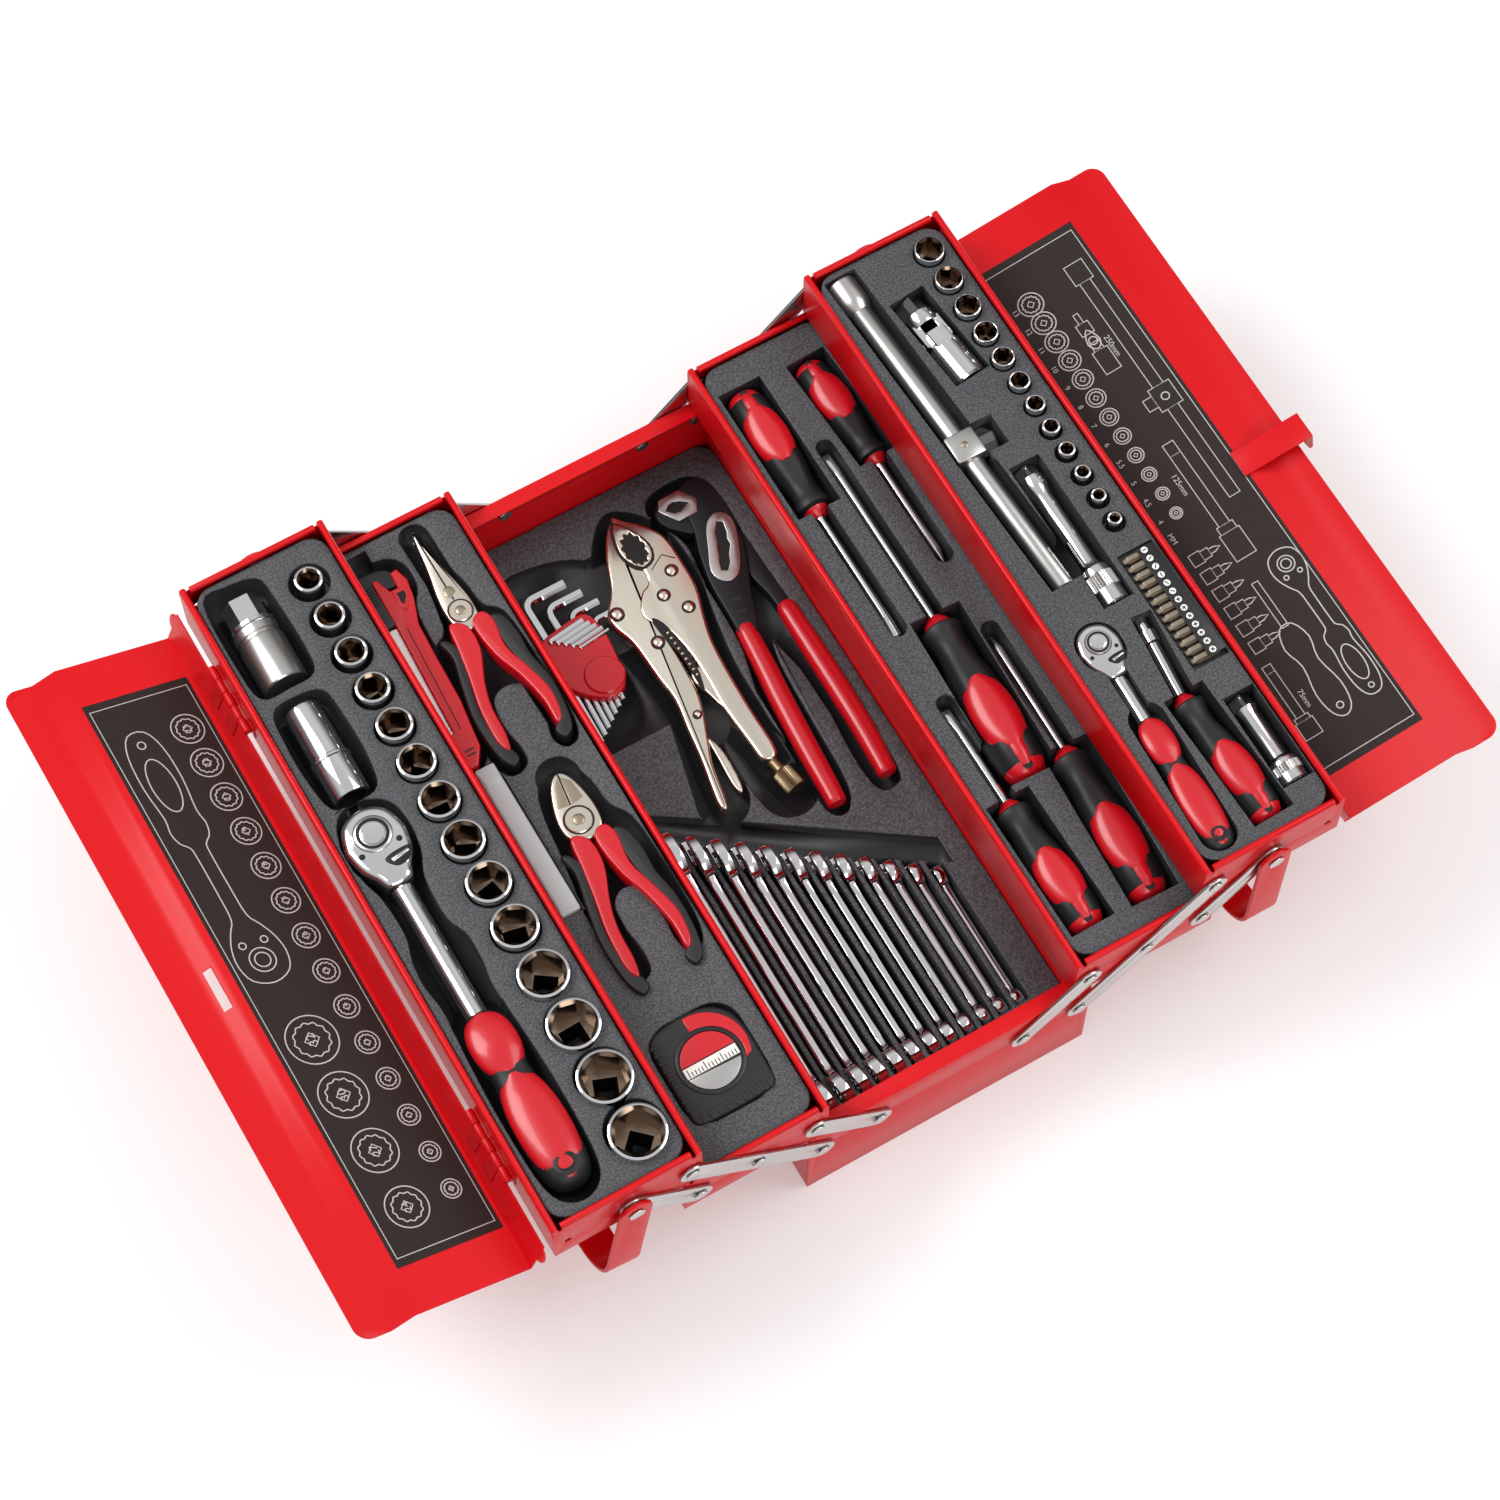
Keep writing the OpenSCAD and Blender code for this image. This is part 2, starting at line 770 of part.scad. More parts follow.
module taper(a, b, w0, w1, z, high) {
    run_x = b[0] - a[0];
    run_y = b[1] - a[1];
    long = sqrt(run_x * run_x + run_y * run_y);
    translate([a[0], a[1], z])
        rotate([0, 0, atan2(run_y, run_x)])
            linear_extrude(high)
                polygon([[0, -w0 / 2], [long, -w1 / 2], [long, w1 / 2], [0, w0 / 2]]);
}

// ---------- upright sockets ----------
function big_dia(i) = big_wall + big_growth * big_sizes[i];
function big_foot(i) = max(big_drive, big_dia(i));
function big_y(i) = i == 0 ? big_first : big_y(i - 1) - (big_foot(i - 1) + big_foot(i)) / 2 - big_gap;
function small_dia(i) = small_wall + small_sizes[i];
function small_foot(i) = max(small_drive, small_dia(i));
function small_y(i) = i == 0 ? small_first
    : small_y(i - 1) - (small_foot(i - 1) + small_foot(i)) / 2 - small_gap;

module socket(foot, dia, size, long) {
    difference() {
        union() {
            cylinder(d = foot, h = long * 0.45);
            cylinder(d = dia, h = long);
        }
        translate([0, 0, long * 0.55])
            cylinder(d = size / cos(30), h = long, $fn = 6);
    }
}

module half_inch_sockets() {
    for (i = [0 : len(big_sizes) - 1])
        translate([big_row, big_y(i), insert_floor - insert_high])
            socket(big_foot(i), big_dia(i), big_sizes[i], big_socket_long);
}

module quarter_inch_sockets() {
    for (i = [0 : len(small_sizes) - 1])
        translate([small_row, small_y(i), small_seat])
            socket(small_foot(i), small_dia(i), small_sizes[i], small_socket_long);
}

// ---------- left top tray: half inch drive ----------
module plug_sockets() {
    across_y(plug_x, plug_z, plug_y, plug_long, plug_dia);
    translate([plug_x, plug_y + plug_long, plug_z])
        rotate([-90, 0, 0])
            cylinder(d = plug_hex, h = plug_hex_long, $fn = 6);
    across_y(plug_x, plug_z, deep_y, deep_long, deep_dia);
    across_y(plug_x, plug_z, deep_y, deep_long * 0.42, deep_collar);
}

module half_inch_ratchet() {
    bar([ratchet_x, ratchet_y], [ratchet_x, ratchet_y - 10], ratchet_head, ratchet_low, ratchet_thick);
    translate([ratchet_x, ratchet_y, ratchet_low + ratchet_thick])
        cylinder(d = ratchet_head * 0.45, h = 2);
    rod([ratchet_x, ratchet_y - 20], [ratchet_x, ratchet_y - 125], ratchet_shaft, ratchet_low + ratchet_thick / 2);
    difference() {
        bar([ratchet_x, ratchet_y - 120], [ratchet_x, ratchet_y - 212], ratchet_grip, ratchet_low - 2,
            ratchet_grip_thick);
        translate([ratchet_x, ratchet_y - 217, ratchet_low - 2 - over])
            cylinder(d = 8, h = ratchet_grip_thick + 2 * over);
    }
}

module left_top_pockets() {
    for (i = [0 : len(big_sizes) - 1])
        translate([big_row, big_y(i), insert_floor - insert_high])
            cylinder(d = big_foot(i) + 2 * pocket_gap, h = insert_high);
    tray_slot(plug_x, plug_y, plug_y + plug_long + plug_hex_long, plug_dia, plug_dia / 2 - plug_z);
    tray_slot(plug_x, deep_y, deep_y + deep_long, deep_collar, deep_collar / 2 - plug_z);
    pocket([ratchet_x, ratchet_y], [ratchet_x, ratchet_y - 10], ratchet_head, -ratchet_low);
    pocket([ratchet_x, ratchet_y], [ratchet_x, ratchet_y - 130], ratchet_shaft + 3, -ratchet_low);
    pocket([ratchet_x, ratchet_y - 120], [ratchet_x, ratchet_y - 212], ratchet_grip, 2 - ratchet_low);
}

// ---------- left middle tray: pliers, knife, tape ----------
// Pliers: nose, boss and two bent handles with thick dipped grips.
module pliers(tip, pivot, left_end, right_end, nose_tip, nose_root, low) {
    taper(tip, pivot, nose_tip, nose_root, low, jaw_thick);
    translate([pivot[0], pivot[1], low])
        cylinder(d = joint_boss, h = jaw_thick + 1);
    plier_arms(pivot, [left_end, right_end], low, jaw_thick, grip_thick);
}

// Two crossing arms, each a step lower than the one before, with wider grips.
module plier_arms(pivot, ends, low, arm, grip) {
    for (i = [0, 1]) {
        knee = plier_knee(pivot, ends[i]);
        bar(pivot, knee, grip_wide - grip_wall, low, arm - arm_step * (i + 1), arm_waist);
        bar(knee, ends[i], grip_wide, low, grip, arm_waist);
    }
}

function plier_knee(pivot, end) = [
    end[0] - (end[0] - pivot[0]) * 0.1,
    pivot[1] + (end[1] - pivot[1]) * 0.45
];

module plier_pocket(tip, pivot, left_end, right_end, nose_root, deep) {
    pocket(tip, pivot, nose_root, deep);
    translate([pivot[0], pivot[1], -deep])
        cylinder(d = joint_boss + 2 * pocket_gap, h = deep + over);
    for (end = [left_end, right_end]) {
        pocket(pivot, plier_knee(pivot, end), grip_wide, deep);
        pocket(plier_knee(pivot, end), end, grip_wide, deep);
    }
}

module long_nose_pliers() {
    pliers(nose_at[0], nose_at[1], nose_at[2], nose_at[3], 4, 16, plier_low);
}

module side_cutters() {
    pliers(cutter_at[0], cutter_at[1], cutter_at[2], cutter_at[3], 11, 24, plier_low);
}

module snap_knife() {
    translate([knife_x - knife_wide / 2, knife_y, knife_low])
        cube([knife_wide, knife_long * 0.4, knife_thick]);
    translate([knife_x - knife_wide / 2 + 2, knife_y, knife_low])
        cube([knife_wide - 4, knife_long, knife_thick - 3]);
    translate([knife_x + knife_wide / 2 - 6, knife_y + knife_long * 0.55, knife_low])
        cube([5, 26, knife_thick]);
}

module blade_case() {
    translate([case_x - case_wide / 2, case_y, -case_wide + 2])
        cube([case_wide, case_long, case_wide]);
}

module tape_measure() {
    translate([tape_x, tape_y, tape_low])
        linear_extrude(tape_thick)
            rounded(tape_wide, tape_long, tape_round);
    translate([tape_x, tape_y, tape_low + tape_thick])
        cylinder(d = tape_wide - 12, h = 1);
}

module left_middle_pockets() {
    tray_slot(knife_x, knife_y, knife_y + knife_long, knife_wide, -knife_low);
    plier_pocket(nose_at[0], nose_at[1], nose_at[2], nose_at[3], 16, -plier_low);
    tray_slot(case_x, case_y, case_y + case_long, case_wide, case_wide - 2);
    plier_pocket(cutter_at[0], cutter_at[1], cutter_at[2], cutter_at[3], 24, -plier_low);
    translate([tape_x, tape_y, tape_low])
        linear_extrude(over - tape_low)
            rounded(tape_wide + 2 * pocket_gap, tape_long + 2 * pocket_gap, tape_round);
}

// ---------- base: spanners, pliers, hex keys ----------
function spanner_part(i) = i / (spanner_count - 1);
function spanner_x(i) = (i - (spanner_count - 1) / 2) * spanner_pitch + 2;
function spanner_jaw_at(i) = spanner_jaw + (spanner_jaw_small - spanner_jaw) * spanner_part(i);
function spanner_ring_at(i) = 0.76 * spanner_jaw_at(i);
function spanner_span(i) = spanner_long + (spanner_short - spanner_long) * spanner_part(i);

module disc_x(y, z, dia, thick) {
    translate([-thick / 2, y, z])
        rotate([0, 90, 0])
            cylinder(d = dia, h = thick);
}

module spanner(jaw, ring, span) {
    ring_z = ring / 2 - spanner_groove;
    jaw_z = jaw / 2 - spanner_groove;
    long = sqrt(span * span + (jaw_z - ring_z) * (jaw_z - ring_z));
    difference() {
        union() {
            disc_x(0, ring_z, ring, spanner_thick + 2);
            disc_x(span, jaw_z, jaw, spanner_thick + 1);
            translate([-spanner_thick / 2, 0, ring_z])
                rotate([atan2(jaw_z - ring_z, span), 0, 0])
                    translate([0, ring * 0.35, -ring / 6])
                        cube([spanner_thick, long - ring * 0.35 - jaw * 0.3, ring / 3]);
        }
        disc_x(0, ring_z, ring * 0.62, 4 * spanner_thick);
        translate([-2 * spanner_thick, span + jaw * 0.02, jaw_z])
            rotate([15, 0, 0])
                translate([0, 0, -jaw * 0.24])
                    cube([4 * spanner_thick, jaw, jaw * 0.48]);
    }
}

module spanners() {
    for (i = [0 : spanner_count - 1])
        translate([spanner_x(i), -spanner_near, 0])
            spanner(spanner_jaw_at(i), spanner_ring_at(i), spanner_span(i));
}

module hex_key(i) {
    bend = [key_x + i * key_step, key_y - i * key_step];
    dia = key_dia - i * 0.7;
    rod(bend, [bend[0] + key_short - 4 * i, bend[1]], dia, key_z, 6);
    rod(bend, [bend[0], holder_y - 10], dia, key_z, 6);
    translate([bend[0], bend[1], key_z])
        sphere(d = dia, $fn = 24);
}

module hex_key_set() {
    for (i = [0 : 3])
        hex_key(i);
    taper([holder_x, holder_y], [holder_x, disc_y], 40, 24, key_z - key_holder / 2, key_holder);
    translate([holder_x, disc_y, key_z - key_holder / 2])
        cylinder(d = 25, h = key_holder);
    for (i = [0 : 4])
        rod([holder_x - 16 + 6 * i, holder_y - 20], [holder_x - 18 + 4 * i, disc_y - 32 + 5 * i], 3,
            key_z, 6);
}

module locking_pliers() {
    difference() {
        bar(lock_at[0], lock_at[1], 40, lock_low, lock_thick, arm_waist);
        bar(lock_at[0], [lock_at[0][0] - 3, lock_at[0][1] + 4], 12, lock_low - over, lock_thick + 2 * over);
    }
    taper(lock_at[1], lock_at[2], 34, 12, lock_low, lock_thick - arm_step);
    rod(lock_at[2], lock_at[3], lock_screw, lock_low + lock_thick / 2);
    taper(lock_at[1], lock_at[4], 22, 10, lock_low, lock_thick - 2 * arm_step);
}

module pump_pliers() {
    bar(pump_at[0], pump_at[1], 20, plier_low, jaw_thick, arm_waist);
    bar(pump_at[1], pump_at[2], 17, plier_low, jaw_thick + 2, arm_waist);
    plier_arms(pump_at[2], [pump_at[3], pump_at[4]], plier_low, jaw_thick + 2, grip_thick);
}

module base_pockets() {
    for (i = [0 : spanner_count - 1])
        translate([spanner_x(i), -spanner_near, 0])
            translate([-spanner_thick / 2 - 1 - pocket_gap, -spanner_ring_at(i) / 2 - pocket_gap,
                       -spanner_groove])
                cube([spanner_thick + 2 + 2 * pocket_gap,
                      spanner_span(i) + (spanner_ring_at(i) + spanner_jaw_at(i)) / 2 + 2 * pocket_gap,
                      spanner_groove + over]);
    tray_slot(holder_x + 8, disc_y - 40, key_y + key_dia, 62, key_holder / 2 - key_z);
    pocket(lock_at[0], lock_at[1], 40, -lock_low);
    pocket(lock_at[1], lock_at[3], 34, -lock_low);
    pocket(lock_at[1], lock_at[4], 22, -lock_low);
    pocket(pump_at[0], pump_at[1], 20, -plier_low);
    pocket(pump_at[1], pump_at[2], 17, -plier_low);
    for (end = [pump_at[3], pump_at[4]]) {
        pocket(pump_at[2], plier_knee(pump_at[2], end), grip_wide, -plier_low);
        pocket(plier_knee(pump_at[2], end), end, grip_wide, -plier_low);
    }
}

// ---------- right middle tray: screwdrivers ----------
// Each entry: handle end, handle front, blade tip, handle diameter.
drivers = [
    [[-23, 192], [-23, 101], [-23, 13], driver_handle],
    [[20, 190], [24, 114], [24, 40], driver_handle - 2],
    [[-4, -102], [0, 10], [0, 133], driver_handle_big],
    [[-23, -195], [-24, -108], [-24, -41], driver_handle],
    [[16, -197], [21, -96], [22, -14], driver_handle + 2]
];

module screwdrivers() {
    for (d = drivers) {
        rod(d[0], d[1], d[3], driver_z);
        rod(d[1], d[2], driver_blade, driver_z);
    }
}

module right_middle_pockets() {
    for (d = drivers) {
        taper(extend(d[1], d[0]), extend(d[0], d[1]), d[3] + 2 * pocket_gap, d[3] + 2 * pocket_gap,
              driver_z - d[3] / 2, d[3] + over);
        pocket(d[1], d[2], driver_blade + 3, driver_blade - driver_z);
    }
}

// The point b pushed away from a by the pocket clearance.
function extend(a, b) = b + pocket_gap * (b - a) / norm(b - a);

// ---------- right top tray: quarter inch drive and bars ----------
module drive_bars() {
    rod(tee_at[0], tee_at[1], bar_dia, bar_z);
    rod(tee_at[0], tee_at[0] + 0.1 * (tee_at[1] - tee_at[0]), bar_head, bar_z);
    mid = tee_at[0] + 0.56 * (tee_at[1] - tee_at[0]);
    translate([mid[0] - slider_wide / 2, mid[1] - slider_wide / 2, bar_z - slider_wide / 2])
        cube([slider_wide, slider_wide, slider_wide]);
    translate([mid[0], mid[1] - drive_half / 2, bar_z - drive_half / 2])
        cube([slider_wide / 2 + drive_half - 3, drive_half, drive_half]);
    extension(ext_at[0], ext_at[1]);
    extension(short_at[0], short_at[1]);
}

module extension(a, b) {
    rod(a, b, ext_shaft, bar_z);
    rod(b + 0.26 * (a - b), b, ext_head, bar_z);
    rod(a, a + 0.16 * (b - a), ext_head - 3, bar_z);
}

module universal_joint() {
    rod(joint_at[0], joint_at[1], drive_half, joint_z);
    rod(joint_at[0] + 0.55 * (joint_at[1] - joint_at[0]), joint_at[1], uj_dia, joint_z);
    rod(joint_at[0] + 0.2 * (joint_at[1] - joint_at[0]), joint_at[0] + 0.48 * (joint_at[1] - joint_at[0]),
        uj_dia - 2, joint_z);
}

module bit_set() {
    for (i = [0 : bit_count - 1])
        translate([bit_x, bit_y - i * bit_pitch, bit_z])
            rotate([0, 90, 0])
                cylinder(d = bit_dia, h = bit_long, $fn = 6);
    translate([bit_x + bit_long, bit_y - (bit_count - 1) * bit_pitch - bit_dia / 2, bit_z - bit_dia / 2])
        cube([3, (bit_count - 1) * bit_pitch + bit_dia, bit_dia + 2]);
}

module quarter_inch_ratchet() {
    bar(qr_at[0], qr_at[0] + [0, -5], small_ratchet, qr_low, 14);
    rod(qr_at[0], qr_at[1], 9, qr_low + 7);
    bar(qr_at[1], qr_at[2], small_grip, qr_low, 16);
}

module spinner_handle() {
    rod(spin_at[0], spin_at[1], spinner_shaft, bar_z);
    rod(spin_at[1], spin_at[2], spinner_grip, bar_z - 2);
}

module right_top_pockets() {
    for (i = [0 : len(small_sizes) - 1])
        translate([small_row, small_y(i), small_seat])
            cylinder(d = small_foot(i) + 2 * pocket_gap, h = over - small_seat);
    box_pocket(tee_at[0], tee_at[1], bar_head, bar_z - bar_head / 2);
    mid = tee_at[0] + 0.56 * (tee_at[1] - tee_at[0]);
    translate([mid[0] - slider_wide / 2 - pocket_gap, mid[1] - slider_wide / 2 - pocket_gap,
               bar_z - slider_wide / 2])
        cube([slider_wide + drive_half + 2 * pocket_gap, slider_wide + 2 * pocket_gap, slider_wide]);
    box_pocket(ext_at[0], ext_at[1], ext_head, bar_z - ext_head / 2);
    box_pocket(short_at[0], short_at[1], ext_head, bar_z - ext_head / 2);
    box_pocket(joint_at[0], joint_at[1], uj_dia, joint_z - uj_dia / 2);
    translate([bit_x - pocket_gap, bit_y - (bit_count - 1) * bit_pitch - bit_dia, bit_z - bit_dia / 2])
        cube([bit_long + 3 + 2 * pocket_gap, (bit_count - 1) * bit_pitch + 2 * bit_dia, bit_dia + 3 * over]);
    pocket(qr_at[0], qr_at[0] + [0, -5], small_ratchet, -qr_low);
    pocket(qr_at[0], qr_at[1], 10, -qr_low);
    pocket(qr_at[1], qr_at[2], small_grip, -qr_low);
    box_pocket(spin_at[0], spin_at[1], spinner_shaft + 3, bar_z - spinner_shaft);
    box_pocket(spin_at[1], spin_at[2], spinner_grip, bar_z - 2 - spinner_grip / 2);
}

module box_pocket(a, b, wide, low) {
    taper(extend(b, a), extend(a, b), wide + 2 * pocket_gap, wide + 2 * pocket_gap, low, over - low);
}

// ---------- nodes ----------
module n_base_pan() {
    color(red)
        pan(-base_half, base_width, 0, base_height);
}

module n_base_ends() {
    color(red)
        at_ends()
            base_end();
}

module n_base_rivets() {
    color(steel)
        at_ends()
            for (s = [-1, 1])
                for (x = [pivot_x, pivot_x - pivot_spacing])
                    rivet_at(s * x, base_height - pivot_drop);
}

module n_base_insert() {
    color(charcoal)
        in_base()
            insert_block(base_width - 2 * sheet - 2 * insert_gap, box_length - 2 * sheet - 2 * insert_gap,
                         base_insert_top - sheet)
                base_pockets();
}

module n_left_middle_shell() {
    color(red)
        side(true)
            pan(mid_x, tray_width, mid_rim - tray_depth, tray_depth);
}

module n_left_middle_ends() {
    color(red)
        side(true)
            tray_ends(mid_x, mid_rim, middle_pivots, false);
}

module n_left_middle_rivets() {
    color(steel)
        side(true)
            at_ends()
                for (x = middle_pivots)
                    rivet_at(x, mid_rim - pivot_drop);
}

module n_left_middle_insert() {
    color(charcoal)
        in_tray(true, true)
            tray_insert()
                left_middle_pockets();
}

module n_left_top_shell() {
    color(red)
        side(true)
            pan(top_x, tray_width, top_rim - tray_depth, tray_depth);
}

module n_left_top_ends() {
    color(red)
        side(true)
            tray_ends(top_x, top_rim, top_pivots, true);
}

module n_left_top_rivets() {
    color(steel)
        side(true)
            at_ends()
                rivet_at(top_pivots[0], top_rim - pivot_drop);
}

module n_left_top_insert() {
    color(charcoal)
        in_tray(true, false)
            tray_insert()
                left_top_pockets();
}

module n_left_long_links() {
    color(steel)
        side(true)
            at_ends()
                link(pivot_x, base_height - pivot_drop, 2);
}

module n_left_lower_links() {
    color(steel)
        side(true)
            at_ends()
                link(pivot_x - pivot_spacing, base_height - pivot_drop, 1);
}

module n_left_upper_links() {
    color(steel)
        side(true)
            at_ends()
                link(middle_pivots[2], mid_rim - pivot_drop, 1);
}

module n_left_tray_hinges() {
    color(red)
        side(true)
            tray_hinges();
}

module n_left_lid() {
    color(red)
        side(true)
            place_lid(left_open)
                difference() {
                    lid_sheet(step_rise + lap_lift);
                    lid_slot();
                }
}

module n_left_lid_knuckles() {
    color(red)
        side(true)
            place_lid(left_open)
                lid_knuckles();
}

module n_left_sticker() {
    color(label)
        side(true)
            place_lid(left_open)
                sticker();
}

module n_left_handle_rivets() {
    color(steel)
        side(true)
            at_ends()
                handle_rivet(top_pivots[1], top_rim - pivot_drop);
}

module n_left_handle() {
    color(red)
        side(true)
            translate([top_pivots[1], 0, top_rim - pivot_drop])
                rotate([0, -left_tilt, 0])
                    handle_strap();
}

module n_right_middle_shell() {
    color(red)
        side(false)
            pan(mid_x, tray_width, mid_rim - tray_depth, tray_depth);
}

module n_right_middle_ends() {
    color(red)
        side(false)
            tray_ends(mid_x, mid_rim, middle_pivots, false);
}

module n_right_middle_rivets() {
    color(steel)
        side(false)
            at_ends()
                for (x = middle_pivots)
                    rivet_at(x, mid_rim - pivot_drop);
}

module n_right_middle_insert() {
    color(charcoal)
        in_tray(false, true)
            tray_insert()
                right_middle_pockets();
}

module n_right_top_shell() {
    color(red)
        side(false)
            pan(top_x, tray_width, top_rim - tray_depth, tray_depth);
}

module n_right_top_ends() {
    color(red)
        side(false)
            tray_ends(top_x, top_rim, top_pivots, true);
}

module n_right_top_rivets() {
    color(steel)
        side(false)
            at_ends()
                rivet_at(top_pivots[0], top_rim - pivot_drop);
}

module n_right_top_insert() {
    color(charcoal)
        in_tray(false, false)
            tray_insert()
                right_top_pockets();
}

module n_right_long_links() {
    color(steel)
        side(false)
            at_ends()
                link(pivot_x, base_height - pivot_drop, 2);
}

module n_right_lower_links() {
    color(steel)
        side(false)
            at_ends()
                link(pivot_x - pivot_spacing, base_height - pivot_drop, 1);
}

module n_right_upper_links() {
    color(steel)
        side(false)
            at_ends()
                link(middle_pivots[2], mid_rim - pivot_drop, 1);
}

module n_right_tray_hinges() {
    color(red)
        side(false)
            tray_hinges();
}

module n_right_lid() {
    color(red)
        side(false)
            place_lid(right_open)
                lid_sheet(step_rise);
}

module n_right_lid_knuckles() {
    color(red)
        side(false)
            place_lid(right_open)
                lid_knuckles();
}

module n_right_sticker() {
    color(label)
        side(false)
            place_lid(right_open)
                sticker();
}

module n_hasp() {
    color(red)
        place_lid(right_open)
            hasp_strap();
}

module n_right_handle_rivets() {
    color(steel)
        side(false)
            at_ends()
                handle_rivet(top_pivots[1], top_rim - pivot_drop);
}

module n_right_handle() {
    color(red)
        side(false)
            translate([top_pivots[1], 0, top_rim - pivot_drop])
                rotate([0, 0, 0])
                    handle_strap();
}

module n_half_inch_sockets() {
    color(chrome)
        in_tray(true, false)
            half_inch_sockets();
}

module n_plug_sockets() {
    color(chrome)
        in_tray(true, false)
            plug_sockets();
}

module n_half_inch_ratchet() {
    color(chrome)
        in_tray(true, false)
            half_inch_ratchet();
}

module n_snap_knife() {
    color(red)
        in_tray(true, true)
            snap_knife();
}

module n_long_nose_pliers() {
    color(red)
        in_tray(true, true)
            long_nose_pliers();
}

module n_blade_case() {
    color(chrome)
        in_tray(true, true)
            blade_case();
}

module n_side_cutters() {
    color(red)
        in_tray(true, true)
            side_cutters();
}

module n_tape_measure() {
    color(black)
        in_tray(true, true)
            tape_measure();
}

module n_hex_key_set() {
    color(chrome)
        in_base()
            hex_key_set();
}

module n_locking_pliers() {
    color(chrome)
        in_base()
            locking_pliers();
}

module n_pump_pliers() {
    color(black)
        in_base()
            pump_pliers();
}

module n_spanners() {
    color(chrome)
        in_base()
            spanners();
}

module n_screwdrivers() {
    color(black)
        in_tray(false, true)
            screwdrivers();
}

module n_drive_bars() {
    color(chrome)
        in_tray(false, false)
            drive_bars();
}

module n_universal_joint() {
    color(chrome)
        in_tray(false, false)
            universal_joint();
}

module n_quarter_inch_sockets() {
    color(chrome)
        in_tray(false, false)
            quarter_inch_sockets();
}

module n_bit_set() {
    color(chrome)
        in_tray(false, false)
            bit_set();
}

module n_quarter_inch_ratchet() {
    color(chrome)
        in_tray(false, false)
            quarter_inch_ratchet();
}

module n_spinner_handle() {
    color(black)
        in_tray(false, false)
            spinner_handle();
}

n_base_pan();  // base_pan
n_base_ends();  // base_ends
n_base_rivets();  // base_rivets
n_base_insert();  // base_insert
n_left_middle_shell();  // left_middle_shell
n_left_middle_ends();  // left_middle_ends
n_left_middle_rivets();  // left_middle_rivets
n_left_middle_insert();  // left_middle_insert
n_left_top_shell();  // left_top_shell
n_left_top_ends();  // left_top_ends
n_left_top_rivets();  // left_top_rivets
n_left_top_insert();  // left_top_insert
n_left_long_links();  // left_long_links
n_left_lower_links();  // left_lower_links
n_left_upper_links();  // left_upper_links
n_left_tray_hinges();  // left_tray_hinges
n_left_lid();  // left_lid
n_left_lid_knuckles();  // left_lid_knuckles
n_left_sticker();  // left_sticker
n_left_handle_rivets();  // left_handle_rivets
n_left_handle();  // left_handle
n_right_middle_shell();  // right_middle_shell
n_right_middle_ends();  // right_middle_ends
n_right_middle_rivets();  // right_middle_rivets
n_right_middle_insert();  // right_middle_insert
n_right_top_shell();  // right_top_shell
n_right_top_ends();  // right_top_ends
n_right_top_rivets();  // right_top_rivets
n_right_top_insert();  // right_top_insert
n_right_long_links();  // right_long_links
n_right_lower_links();  // right_lower_links
n_right_upper_links();  // right_upper_links
n_right_tray_hinges();  // right_tray_hinges
n_right_lid();  // right_lid
n_right_lid_knuckles();  // right_lid_knuckles
n_right_sticker();  // right_sticker
n_hasp();  // hasp
n_right_handle_rivets();  // right_handle_rivets
n_right_handle();  // right_handle
n_half_inch_sockets();  // half_inch_sockets
n_plug_sockets();  // plug_sockets
n_half_inch_ratchet();  // half_inch_ratchet
n_snap_knife();  // snap_knife
n_long_nose_pliers();  // long_nose_pliers
n_blade_case();  // blade_case
n_side_cutters();  // side_cutters
n_tape_measure();  // tape_measure
n_hex_key_set();  // hex_key_set
n_locking_pliers();  // locking_pliers
n_pump_pliers();  // pump_pliers
n_spanners();  // spanners
n_screwdrivers();  // screwdrivers
n_drive_bars();  // drive_bars
n_universal_joint();  // universal_joint
n_quarter_inch_sockets();  // quarter_inch_sockets
n_bit_set();  // bit_set
n_quarter_inch_ratchet();  // quarter_inch_ratchet
n_spinner_handle();  // spinner_handle
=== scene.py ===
"""Open cantilever toolbox: five trays of hand tools on scissor links, with two hinged lids."""
import json
import math
from math import cos, pi, radians, sin

import bmesh
import bpy
from bpy.props import FloatProperty, FloatVectorProperty, IntProperty, PointerProperty
from mathutils import Matrix, Vector


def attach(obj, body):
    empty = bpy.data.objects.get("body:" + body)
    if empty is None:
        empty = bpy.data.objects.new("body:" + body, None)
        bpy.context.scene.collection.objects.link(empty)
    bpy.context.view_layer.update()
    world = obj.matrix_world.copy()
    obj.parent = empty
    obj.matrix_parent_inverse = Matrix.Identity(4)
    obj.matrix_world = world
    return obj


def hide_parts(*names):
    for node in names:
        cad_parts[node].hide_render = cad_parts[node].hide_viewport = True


bl_info = {
    "name": "Toolbox with Tray",
    "version": (1, 0, 0),
    "blender": (4, 2, 0),
    "location": "3D View > Sidebar > Toolbox",
    "description": "Builds an open cantilever toolbox with its trays, lids and hand tools",
    "category": "Add Mesh",
}

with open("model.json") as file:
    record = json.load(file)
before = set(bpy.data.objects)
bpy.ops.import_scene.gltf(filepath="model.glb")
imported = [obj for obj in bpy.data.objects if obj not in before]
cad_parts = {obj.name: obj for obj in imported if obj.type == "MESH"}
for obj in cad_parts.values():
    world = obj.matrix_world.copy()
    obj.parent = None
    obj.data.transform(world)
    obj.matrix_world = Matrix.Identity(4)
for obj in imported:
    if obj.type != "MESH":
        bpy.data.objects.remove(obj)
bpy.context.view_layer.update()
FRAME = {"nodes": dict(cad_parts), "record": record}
MILLI = 0.001
BODY_OF = {
    node: body
    for body, nodes in FRAME["record"]["behaviour"]["bodies"].items()
    for node in nodes
}
